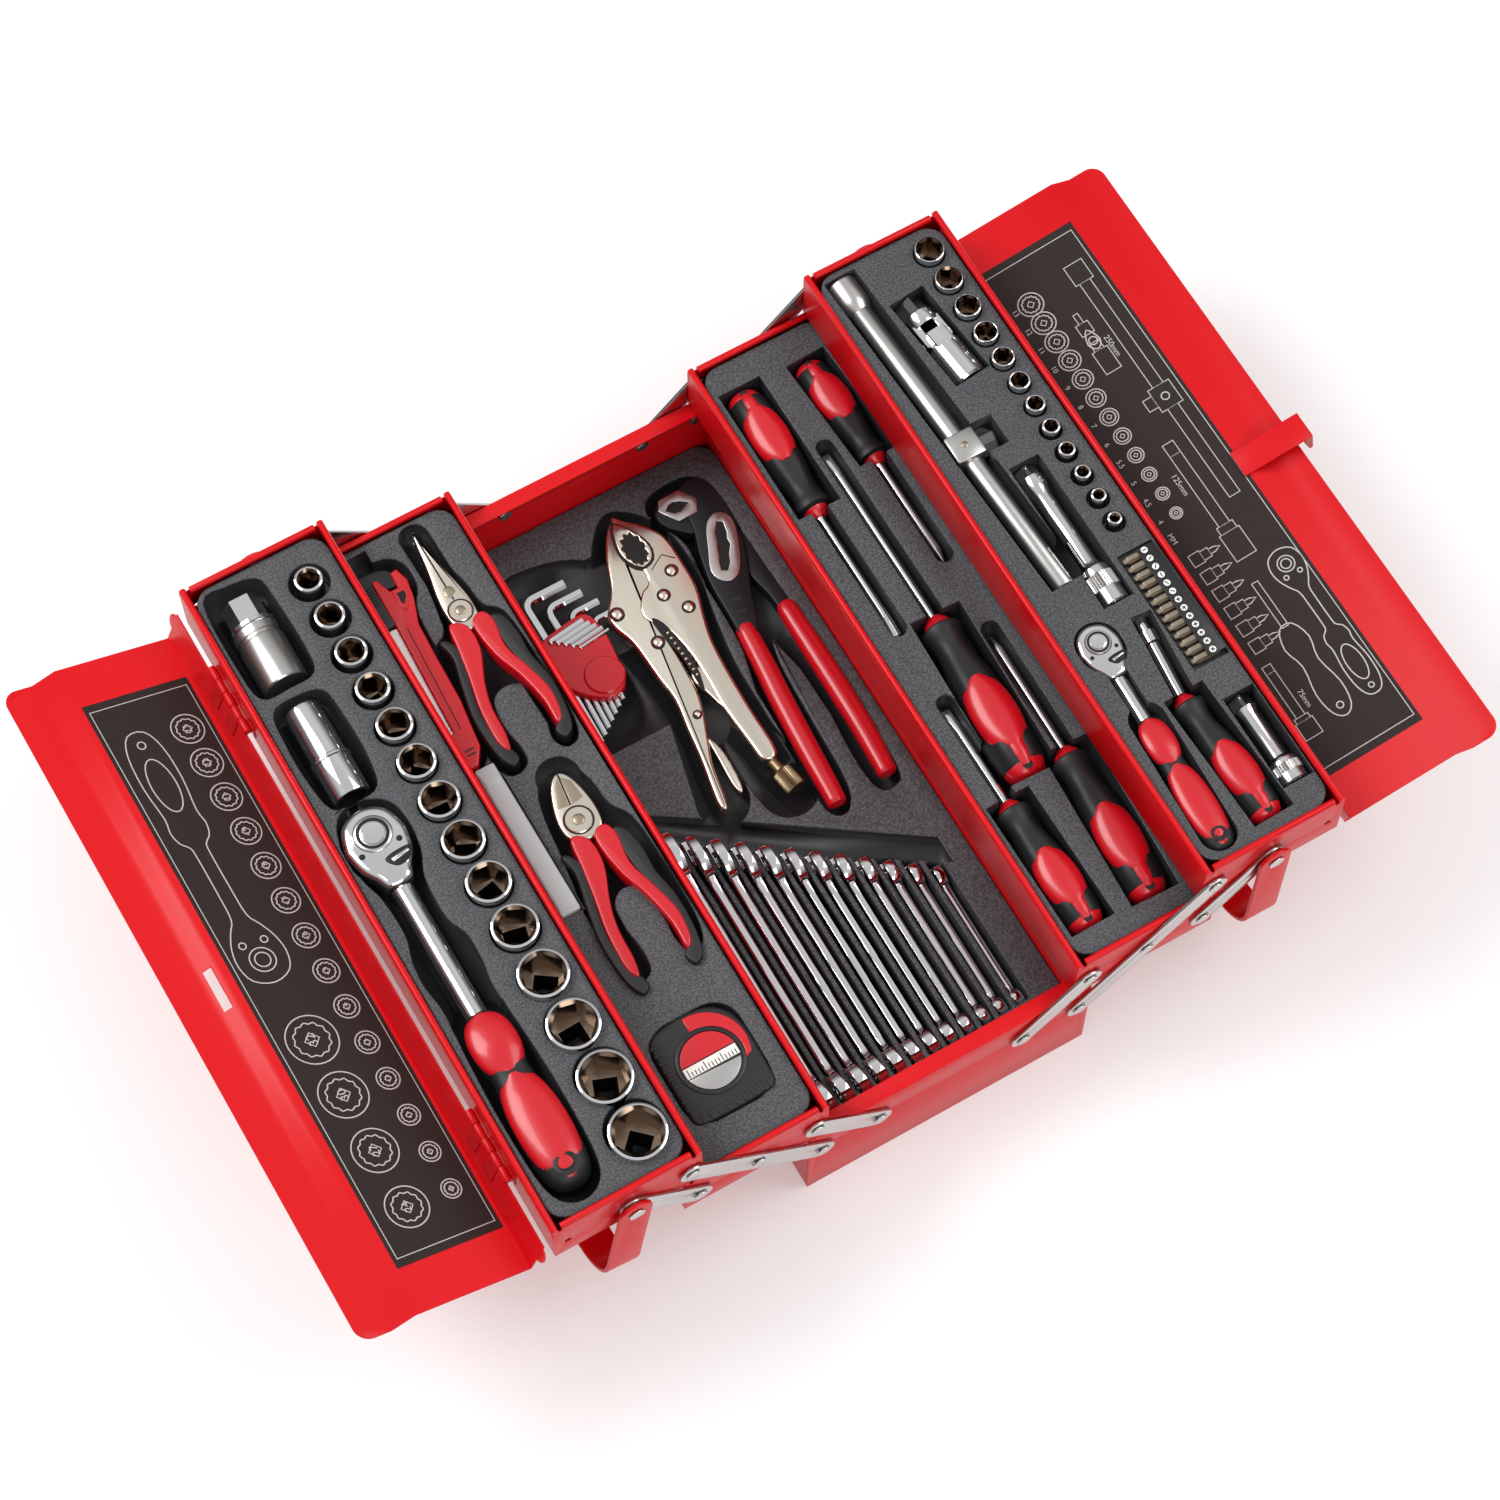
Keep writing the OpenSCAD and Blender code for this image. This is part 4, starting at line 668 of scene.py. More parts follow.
class TOOLBOX_OT_inserts(bpy.types.Operator):
    """Mould the five tool inserts with rounded pocket mouths"""

    bl_idname = "toolbox.inserts"
    bl_label = "Tool inserts"

    def execute(self, context):
        edge = context.scene.toolbox_shape.insert_edge
        # Finger room sunk round the tools: plan outline and depth.
        left_top = [([(-38, 34), (-32, 50), (-18, 54), (-3, 46), (1, 30), (-1, 12), (-7, -4), (-8, -30),
                      (-3, -44),
                      (-3, -62), (-5, -78), (-3, -110), (-2, -150), (-4, -190), (-13, -204), (-27, -204),
                      (-36, -190),
                      (-38, -150), (-37, -110), (-35, -78), (-37, -60), (-36, -44), (-32, -28), (-33, -4),
                      (-37, 12)], 16),
                    ([(-36, 203), (-20, 206), (-3, 202), (0, 186), (1, 152), (-2, 135), (-18, 133),
                      (-35, 135),
                      (-38, 160)], 20),
                    ([(-33, 124), (-18, 127), (-3, 123), (0, 104), (0, 76), (-4, 57), (-18, 54), (-32, 57),
                      (-36, 80),
                      (-36, 104)], 20)]
        left_middle = [([(-38, 190), (-30, 198), (-8, 197), (1, 188), (1, 172), (-7, 154), (-8, 100),
                         (-13, 64),
                         (-22, 54), (-34, 58), (-38, 70)], 13),
                       ([(8, 204), (14, 208), (20, 204), (22, 180), (26, 160), (28, 144), (36, 135),
                         (38, 120),
                         (39, 92), (39.4, 66), (36, 46), (27, 42), (22, 50), (25, 64), (27, 76), (24, 88),
                         (14, 92),
                         (5, 88), (2, 78), (2, 66), (4, 56), (3, 45), (-5, 41), (-12, 45), (-15, 60),
                         (-14, 84),
                         (-10, 104), (-10, 130), (0, 138), (3, 150), (6, 172)], 14),
                       ([(4, 32), (13, 37), (22, 33), (28, 18), (30, 0), (37, -12), (39, -34), (39.4, -62),
                         (38, -86),
                         (33, -98), (25, -98), (22, -86), (24, -66), (20, -52), (11, -48), (3, -54), (1, -66),
                         (3, -86), (1, -98), (-8, -101), (-14, -92), (-15, -72), (-13, -48), (-10, -26),
                         (-8, -10),
                         (-6, 8), (-2, 24)], 14)]
        base = [([(-68, 186), (-42, 191), (-14, 180), (-8, 160), (-22, 142), (-26, 112), (-28, 86), (-36, 70),
                  (-56, 64), (-67, 70), (-70, 130)], 12),
                ([(4, 196), (16, 200), (31, 188), (40, 168), (41, 138), (36, 112), (31, 80), (30, 50),
                  (30, 12),
                  (34, -12), (26, -24), (14, -22), (8, 0), (6, 22), (2, 40), (-3, 24), (-4, 0), (-14, -12),
                  (-26, -10), (-26, 20), (-21, 50), (-20, 80), (-24, 112), (-27, 138), (-20, 158),
                  (-10, 178)], 12),
                ([(34, 182), (38, 196), (56, 200), (70, 196), (77, 180), (77, 130), (78, 96), (79, 40),
                  (79, -26),
                  (72, -38), (62, -34), (60, -10), (63, 30), (63, 66), (58, 80), (53, 62), (51, 30),
                  (48, -24),
                  (38, -38), (29, -30), (31, 10), (36, 60), (40, 96), (41, 130), (44, 160)], 13)]
        # A wedge recess sunk round the spanner ends; its floor, like every pocket, takes the darker pocket
        # finish as painted shade.
        step = [([(-76, 27), (76, -78), (76, -96), (-76, 2)], 9)]
        for name, cuts, at in [("base_insert", base, BASE), ("left_middle_insert", left_middle, LEFT_MIDDLE),
                               ("left_top_insert", left_top, LEFT_TOP),
                               ("right_middle_insert", [], RIGHT_MIDDLE),
                               ("right_top_insert", [], RIGHT_TOP)]:
            smooth = [(eased(outline, 4), depth) for outline,
                      depth in cuts] + (step if name == "base_insert" else [])
            # Thin walls between pockets leave the right top insert little to round.
            finished(name, "insert", 0.3 * edge if name == "right_top_insert" else edge,
                     sharp=50,
                     cuts=smooth, at=at, painted_shade_inside="pocket")
        return {"FINISHED"}


# ---------- sockets ----------
def socket(at, foot, across, size, long, drive, lip, turn):
    """A socket standing on its drive end: outer wall, rounded lip, hexagon and drive hole."""
    x, y, low = at
    hexagon, square = polygonal(6), polygonal(4)
    mouth = max(min(size / 2 / cos(pi / 6) + 0.5, across / 2 - 0.8), across / 2 - lip * 1.6)
    drive_half = size / 2 * 0.72 if drive > size * 0.7 else drive / 2 * 1.06

    def level(z):
        return Matrix.Translation((x, y, low + z)) @ Matrix.Rotation(turn, 4, "Z")

    wall = loft([(level(0), foot / 2 - 0.6, None), (level(0.6), foot / 2, None),
                 (level(long * 0.42), foot / 2, None), (level(long * 0.47), across / 2 - 0.05, None),
                 (level(long - lip), across / 2, None),
                 (level(long - lip * 0.3), across / 2 - lip * 0.25, None),
                 (level(long), across / 2 - lip, None), (level(long - 0.1), mouth, None)], caps=False)
    bore = loft([(level(long - 0.1), mouth, None), (level(long - 1.6), size / 2, None, hexagon),
                 (level(long * 0.42), size / 2, None, hexagon),
                 (level(long * 0.41), drive_half, None, square)], caps=False)
    # The drive hole is lined near-black: painted shade.
    hole = loft([(level(long * 0.41), drive_half, None, square),
                 (level(1.0), min(drive, size) / 2 * 0.7, None, square)], caps=False)
    return [(wall, "chrome"), (bore, "bore"), (hole, "shade_and_print_black")]


def socket_row(row, first, gap, low, sizes, across, least_foot, long, drive, lip):
    """Sockets of growing size standing in a row along a tray."""
    parts, y, before = [], first, None
    for number, size in enumerate(sizes):
        foot = max(least_foot, across(size))
        if before is not None:
            y -= (before + foot) / 2 + gap
        parts += socket((row, y, low), foot, across(size), size, long, drive, lip, radians(37 * number % 60))
        before = foot
    return parts


class TOOLBOX_OT_half_inch_sockets(bpy.types.Operator):
    """Stand the row of half inch drive sockets and lay the plug and deep sockets"""

    bl_idname = "toolbox.half_inch_sockets"
    bl_label = "Half inch sockets"

    def execute(self, context):
        lip = context.scene.toolbox_shape.socket_lip
        parts = socket_row(21, 185, 3.5, LOW_BIG, BIG_SIZES, lambda s: 5.1 + 1.14 * s, 22, 38, 12.7, lip)
        assemble("half_inch_socket_row", parts, "half_inch_sockets", LEFT_TOP, sharp=28)

        # Plug socket: satin cylinder, thin collar and a hexagon to turn it by.
        foot, shoulder, top = (-18, 138, -9), (-18, 178, -9), (-18, 197, -9)
        body = turned([(0, 0), (0, 9.5), (0.5, 12.6), (1.4, 13.4), (30, 13.5), (31, 13.2), (31.6, 12.4),
                       (33.4, 12.4), (34, 13.2), (38.8, 13.3), (39.8, 12.6), (40, 11), (40, 0)], foot,
                      shoulder)
        collar = turned([(39.5, 0), (39.5, 12.8), (40, 13.4), (42.2, 13.4), (42.8, 12.6), (42.8, 0)],
                        foot, shoulder)
        nut = sections(along(shoulder, top), [(z, r, None, polygonal(6)) for z, r in
                                              ((1.5, 9.2), (2.2, 9.9), (18.2, 9.9), (18.9, 9.0))])
        # Deep socket: a collar between a narrow head and a plain sleeve with an open end.
        start, end = (-18, 60, -9), (-18, 122, -9)
        sleeve = turned([(0.4, 8.6), (0, 9.6), (0.4, 11), (1.2, 11.4), (24, 11.6), (24.6, 12.3), (26, 12.4),
                         (26.6, 11.6), (27.2, 10.9), (58, 10.9), (60.6, 10.4), (61.8, 9.4), (62, 8), (62, 0)],
                        start, end)
        # The open end is lined near-black: painted shade inside the sleeve.
        painted_shade_inside = turned([(0.4, 8.6), (14, 8.2), (14, 0)], start, end)
        assemble("plug_and_deep_socket",
                 [(body, "satin"), (collar, "chrome"), (nut, "chrome"), (sleeve, "chrome"),
                                          (painted_shade_inside, "shade_and_print_black")], "plug_sockets", LEFT_TOP,
                 sharp=28)
        return {"FINISHED"}


class TOOLBOX_OT_quarter_inch_sockets(bpy.types.Operator):
    """Stand the row of quarter inch drive sockets"""

    bl_idname = "toolbox.quarter_inch_sockets"
    bl_label = "Quarter inch sockets"

    def execute(self, context):
        lip = context.scene.toolbox_shape.socket_lip * 0.7
        parts = socket_row(27, 194, 4.9, -20, SMALL_SIZES, lambda s: 4.5 + s, 12, 25, 6.35, lip)
        assemble("quarter_inch_socket_row", parts, "quarter_inch_sockets", RIGHT_TOP,
                 sharp=28)
        return {"FINISHED"}


# ---------- ratchets ----------
def ratchet(head, low, thick, wide, shaft, grip_start, grip_end, grip_wide, grip_thick, scale):
    """A pear-headed ratchet lying flat, with a two-colour grip."""
    hx, hy = head
    top = low + thick
    r = wide / 2
    half = [(r * 0.71, r * 0.71), (r, 0), (r * 0.98, -r * 0.5), (r * 0.86, -r * 0.95), (r * 0.62, -r * 1.35),
            (shaft * 0.5, -r * 1.8)]
    pear = eased([(hx, hy + r)] + [(hx + u, hy + v) for u, v in half] +
                 [(hx - u, hy + v) for u, v in reversed(half)], 5)
    parts = [(plate(pear, low, top, thick * 0.2), "chrome")]
    parts.append((turned([(0, 0), (0, r * 0.62), (0.5, r * 0.6), (1.0, r * 0.56), (1.0, 0)],
                         (hx, hy, top - 0.1), (hx, hy, top + 1)), "satin"))
    parts.append((turned([(0, r * 0.52), (0.7, r * 0.5), (0.7, r * 0.42), (0.1, r * 0.4)],
                         (hx, hy, top + 0.6), (hx, hy, top + 1.6)), "oxide"))
    parts.append((turned([(0, 0), (0, r * 0.38), (0.9, r * 0.36), (1.1, r * 0.3), (1.1, 0)],
                         (hx, hy, top + 0.5), (hx, hy, top + 1.6)), "chrome"))
    for sx, sy in ((-0.63, -0.52), (0.63, -0.52)):
        parts.append((dome((hx + r * sx, hy + r * sy, top), (r * 0.1, r * 0.1, 0.5), 16), "shade_and_print_black"))
    lever = eased([(hx - r * 0.08, hy - r * 0.95), (hx + r * 0.3, hy - r * 0.82),
                   (hx + r * 0.86, hy - r * 0.86),
                   (hx + r * 0.62, hy - r * 1.22), (hx + r * 0.2, hy - r * 1.3)], 4)
    parts.append((plate(lever, top - 0.2, top + 0.25 * scale, 0.1), "oxide"))
    parts.append((rod((hx + r * 0.1, hy - r * 1.06, top - 0.2), (hx + r * 0.7, hy - r * 0.98, top),
                      r * 0.09, 0.3), "satin"))
    mid = low + thick / 2
    gx0, gy0 = grip_start
    gx1, gy1 = grip_end
    way = along((gx0, gy0, mid), (gx1, gy1, mid))
    neck = (hx, hy - r * 1.5, mid)
    reach = (Vector((gx0, gy0, mid)) - Vector(neck)).length + 4
    parts.append((turned([(0, shaft * 0.56), (14 * scale, shaft * 0.48), (reach, shaft * 0.5)],
                         neck, (gx0, gy0, mid)), "chrome"))
    long = (Vector((gx1, gy1)) - Vector((gx0, gy0))).length + grip_wide / 2
    w, t = grip_wide / 2, grip_thick / 2
    form = [(0.0, 0.42, 0.5), (0.012, 0.5, 0.6), (0.04, 0.56, 0.66), (0.09, 0.72, 0.78), (0.2, 0.9, 0.92),
            (0.27, 0.86, 0.86), (0.33, 0.72, 0.74), (0.4, 0.76, 0.78), (0.52, 0.92, 0.94), (0.68, 1.0, 1.0),
            (0.84, 0.98, 1.0), (0.93, 0.86, 0.92), (0.975, 0.66, 0.7), (0.995, 0.4, 0.4), (1.0, 0.2, 0.2)]
    parts.append((sections(way, [(f * long, w * a, t * b, pillow(2.5)) for f, a, b in form]), "black_grip"))
    crown = [(f, t * b) for f, a, b in form]
    parts.append((inlay(way, long, crown, (0.012, 0.35), w * 0.92, 0.3, 0.3), "red_grip"))
    parts.append((inlay(way, long, crown, (0.36, 0.97), w * 1.0, 0.3, 0.3), "red_grip"))
    # Hanging hole near the end of the grip: a rim round a near-black dome of painted shade.
    straight = Vector((gx1 - gx0, gy1 - gy0)).normalized()
    cx, cy = gx0 + straight.x * long * 0.9, gy0 + straight.y * long * 0.9
    parts.append((turned([(0, w * 0.42), (0.7, w * 0.46), (1.2, w * 0.4), (1.2, w * 0.3), (0.2, w * 0.26),
                          (0, 0)],
                         (cx, cy, mid + t * 0.9), (cx, cy, mid + t)), "black_grip"))
    parts.append((dome((cx, cy, mid + t * 0.9 + 0.3), (w * 0.27, w * 0.27, 0.25), 20), "shade_and_print_black"))
    return parts


class TOOLBOX_OT_ratchets(bpy.types.Operator):
    """Shape the half inch and the quarter inch ratchets"""

    bl_idname = "toolbox.ratchets"
    bl_label = "Ratchets"

    def execute(self, context):
        big = ratchet((-20, 31), -18, 22, 36, 13, (-20, -86), (-20, -181), 30, 24, 1.0)
        assemble("half_inch_ratchet_tool", big, "half_inch_ratchet", LEFT_TOP)
        small = ratchet((-21, -67), -13, 14, 25, 9, (-22, -118), (-25, -196), 20, 16, 0.7)
        assemble("quarter_inch_ratchet_tool", small, "quarter_inch_ratchet", RIGHT_TOP)
        return {"FINISHED"}


# ---------- screwdrivers ----------
def driver_handle(start, end, z, wide):
    """A fluted black handle with a red crown, oval patch and collar."""
    a, b = Vector((*start, z)), Vector((*end, z))
    long, r = (b - a).length, wide / 2
    way = along(a, b)
    flutes = lobed(6, 0.035)
    crown = [(0.0, 0.3), (0.012, 0.55), (0.035, 0.72), (0.075, 0.84), (0.085, 0.84)]
    form = [(0.08, 0.86), (0.1, 0.92), (0.2, 0.99), (0.4, 0.985), (0.55, 0.94), (0.66, 0.84), (0.75, 0.7),
            (0.82, 0.66), (0.88, 0.74), (0.915, 0.84), (0.94, 0.82), (0.955, 0.66), (0.96, 0.5)]
    parts = [(sections(way, [(f * long, r * k, r * k) for f, k in crown]), "red_grip"),
             (sections(way, [(f * long, r * k, r * k, flutes if 0.09 < f < 0.8 else circle) for f,
                             k in form]),
              "black_grip"),
             (turned([(long * 0.955, 0), (long * 0.955, r * 0.6), (long * 0.985, r * 0.52), (long, r * 0.4),
                      (long + 1.5, r * 0.34), (long + 1.5, 0)], a, b), "red_grip")]
    line = (b - a).normalized()
    crown_line = [(0, r * 0.4), (0.035, r * 0.74)] + [(f, r * k * (1.035 if 0.09 < f < 0.8 else 1)) for f,
                                                      k in form]
    parts.append((inlay(way, long, crown_line, (0.16, 0.6), r * 0.92, 0.4, 0.3), "red_grip"))
    parts.append((inlay(way, long, crown_line, (0.02, 0.36), r * 0.5, 0.35, 0.3), "red_grip"))
    # A near-black dome stands for the hanging hole: painted shade.
    hole = a + line * long * 0.055
    parts.append((dome((hole.x, hole.y, z + r * 0.78), (r * 0.2, r * 0.2, 0.5), 16), "shade_and_print_black"))
    return parts


class TOOLBOX_OT_screwdrivers(bpy.types.Operator):
    """Shape the five screwdrivers of the middle tray"""

    bl_idname = "toolbox.screwdrivers"
    bl_label = "Screwdrivers"

    def execute(self, context):
        parts = []
        for number, (end, front, tip, wide) in enumerate(DRIVERS):
            z = -11
            parts += driver_handle(end, front, z, wide)
            a, b = Vector((*front, z)), Vector((*tip, z))
            long = (b - a).length
            if number in (0, 2, 3):
                # Flat tip, forged from the round shank.
                blade = sections(along(a, b), [(0, 3, 3), (long - 16, 3, 3), (long - 12, 3.2, 2.6),
                                               (long - 2, 2.9, 0.9), (long, 2.8, 0.5)], 24)
            else:
                blade = turned([(0, 3), (long - 9, 3), (long - 8, 2.7), (long - 1, 0.9), (long, 0.4),
                                (long, 0)],
                               a, b, 24)
            parts.append((blade, "chrome"))
        assemble("screwdriver_set", parts, "screwdrivers", RIGHT_MIDDLE)
        return {"FINISHED"}


# ---------- pliers ----------
def dipped_grip(points, wide, low, high, swelling):
    """A dipped grip that follows plan points, thicker in its middle and round at its end."""
    pts = [Vector((*p, (low + high) / 2)) for p in points]
    path = []
    for i in range(len(pts) - 1):
        path += between(pts[max(i - 1, 0)], pts[i], pts[i + 1], pts[min(i + 2, len(pts) - 1)], 6)
    path.append(pts[-1])
    stations = []
    for i, p in enumerate(path):
        way = (path[min(i + 1, len(path) - 1)] - path[max(i - 1, 0)]).normalized()
        f = i / (len(path) - 1)
        swell = 0.86 + swelling * sin(pi * min(f * 1.15, 1))
        if f > 0.93:
            swell *= math.sqrt(max(1 - ((f - 0.93) / 0.075) ** 2, 0.05))
        if f < 0.04:
            swell *= 0.8 + 5 * f
        stations.append((along(p, p + way), wide / 2 * swell, (high - low) / 2 * swell, pillow(2.6)))
    return loft(stations, sides=24), "red_grip"


def two_tone_grip(red, black, low, high):
    """A red handle strip with a black overlay: plan outlines, both rounded over."""
    core = plate(eased(red, 4), low, high, 1.3)
    cover = plate(eased(black, 4), low - 0.5, high - 0.8, 1.5)
    return [(core, "red_grip"), (cover, "black_grip")]


def plier_head(outline, low, high, pivot, radius):
    """A forged plier head with its slit, joint circle and rivet."""
    parts = [(plate(eased(outline, 4), low, high, 1.4), "nickel")]
    parts.append((turned([(0, 0), (0, radius), (0.5, radius), (0.9, radius - 0.5), (0.9, 0)],
                         (*pivot, high - 0.3), (*pivot, high + 1)), "nickel"))
    parts.append((turned([(0, radius * 1.12), (0.25, radius * 1.1), (0.25, radius)],
                         (*pivot, high - 0.05), (*pivot, high + 1)), "oxide"))
    parts.append((dome((*pivot, high + 0.6), (radius * 0.45, radius * 0.45, 0.7), 20), "ground"))
    return parts


def slit(start, end, wide, top):
    """A dark line of painted shade where two jaws meet."""
    a, b = Vector((*start, top)), Vector((*end, top))
    long = (b - a).length
    way = along(a, b)
    return block((-wide / 2, -0.4, 0), (wide / 2, 0.12, long), 0, way), "shade_and_print_black"


class TOOLBOX_OT_pliers(bpy.types.Operator):
    """Shape the long nose pliers and the side cutters"""

    bl_idname = "toolbox.pliers"
    bl_label = "Long nose pliers and side cutters"

    def execute(self, context):
        low, high = -10, 2
        parts = plier_head([(13.2, 200), (15.4, 200), (19, 176), (22.5, 158), (23.5, 146), (22, 136),
                            (15, 132),
                            (8, 136), (6, 146), (7, 160), (10, 176)], low, high, (14.6, 145), 6.8)
        parts.append(slit((14.4, 200), (14.6, 153), 1.0, high))
        parts.append((dome((14.6, 158.5, high), (3.4, 3.8, 0.5), 20), "ground"))
        red_left = [(4, 139), (13, 134), (13, 118), (5, 98), (1, 82), (0, 64), (-3, 54), (-7, 62), (-6, 84),
                    (-2, 104),
                    (1, 122)]
        black_left = [(-6, 132), (-1, 131), (3, 120), (-3, 98), (-6, 80), (-4, 62), (0, 49), (-6, 45),
                      (-11, 56),
                      (-12, 80), (-8, 102), (-4, 120)]
        red_right = [(16, 133), (24, 138), (28, 130), (26, 112), (31, 94), (35, 76), (33, 60), (28, 56),
                     (28, 72),
                     (24, 92), (18, 110)]
        black_right = [(27, 133), (34, 130), (36.5, 116), (36, 102), (38.6, 86), (38.4, 68), (35, 51),
                       (28, 46),
                       (25, 53), (31, 60), (33, 76), (29, 96), (26, 114)]
        parts += two_tone_grip(red_left, black_left, -9, 5)
        parts += two_tone_grip(red_right, black_right, -9, 5)
        assemble("long_nose_pliers_tool", parts, "long_nose_pliers", LEFT_MIDDLE)

        parts = plier_head([(13, 30), (18, 26), (21.5, 14), (22.5, 0), (20, -10), (11, -14), (1, -10),
                            (-1.5, 0),
                            (1.5, 14), (7, 26)], low, high, (10, -1), 8)
        parts.append(slit((13, 29), (10.4, 9), 1.0, high))
        for side in (-1, 1):
            bevel = [(12.6 + side * 0.7, 27), (12.4 + side * 5.2, 22), (11 + side * 8, 10),
                     (10.6 + side * 1.0, 9)]
            parts.append((plate(bevel, high - 0.2, high + 0.25, 0.15), "ground"))
        # The cutters' grips are the long nose pliers' grips, a little longer.
        drop = 146
        for red, black in ((red_left, black_left), (red_right, black_right)):
            shapes = two_tone_grip([(x - 4, (y - drop) * 1.06 - 2) for x, y in red],
                                   [(x - 4, (y - drop) * 1.06 - 2) for x, y in black], -9, 5)
            parts += shapes
        assemble("side_cutters_tool", parts, "side_cutters", LEFT_MIDDLE)
        return {"FINISHED"}


class TOOLBOX_OT_pump_pliers(bpy.types.Operator):
    """Shape the slip joint pump pliers of the base"""

    bl_idname = "toolbox.pump_pliers"
    bl_label = "Pump pliers"

    def execute(self, context):
        low, high = -10, 3
        head = [(58, 192), (70, 194), (76, 184), (77, 160), (72, 136), (62, 112), (55, 92), (49, 84),
                (42, 86),
                (42, 104), (43, 128), (47, 148), (52, 164), (54, 180)]
        parts = [(plate(eased(head, 4), low, high, 1.2), "oxide")]
        lower = [(38, 186), (50, 194), (58, 190), (60, 178), (62, 166), (52, 162), (44, 168), (38, 176)]
        parts.append((plate(eased(lower, 4), low, high - 1.4, 1.2), "oxide"))
        back = [(70, 150), (77, 150), (78, 124), (79, 96), (79, 84), (71, 84), (70, 104), (66, 128)]
        parts.append((plate(eased(back, 3), low, high - 2.4, 1.2), "oxide"))
        # Ground jaws with a toothed eye-shaped mouth.
        jaws = [(39.5, 184), (43, 190.5), (57, 191), (64, 181), (60, 172.5), (47, 172.5)]
        mouth = [(44, 182), (46.5, 184.5), (50, 185.6), (54, 184), (58.5, 180.6), (55, 179.4), (51.5, 177.8),
                 (47.5, 178.6)]
        parts.append((plate(jaws, high - 2, high + 0.5, 0.5, [mouth]), "satin"))
        # The mouth is filled near-black: painted shade.
        parts.append((plate(mouth, high - 1.6, high - 0.8, 0), "shade_and_print_black"))
        # Slot plate with three bites.
        ring_out = [(63, 165), (70, 166.5), (75, 160), (73, 148), (65, 130), (58, 123), (50, 125), (47, 134),
                    (53, 148), (58, 159)]
        ring_in = [(66.5, 161), (69.5, 159), (68, 152), (66, 148), (66, 144), (62, 139), (60, 134),
                   (56, 129.5),
                   (53, 131.5), (54.6, 137), (57, 141), (58, 145), (60.5, 149.5), (62, 155)]
        parts.append((plate(eased(ring_out, 3), high - 1, high + 0.7, 0.5, [ring_in]), "satin"))
        # The slot is filled near-black: painted shade.
        parts.append((plate(ring_in, high - 0.4, high + 0.08, 0), "shade_and_print_black"))
        for step in range(3):
            x, y = 51 - 1.6 * step, 112 - 8 * step
            parts.append((plate([(x - 3, y), (x + 3, y - 1), (x + 2.4, y - 3), (x - 3, y - 2)], high,
                                high + 0.25, 0),
                          "nylon"))
        for points in ([(47, 96), (45, 70), (42, 40), (39.5, 6), (38, -20), (37, -32)],
                       [(75, 96), (75, 70), (75, 42), (74.5, 8), (73, -18), (72, -30)]):
            parts.append(dipped_grip(points, 14, -9, 5, context.scene.toolbox_shape.grip_swell))
        assemble("pump_pliers_tool", parts, "pump_pliers", BASE)
        return {"FINISHED"}


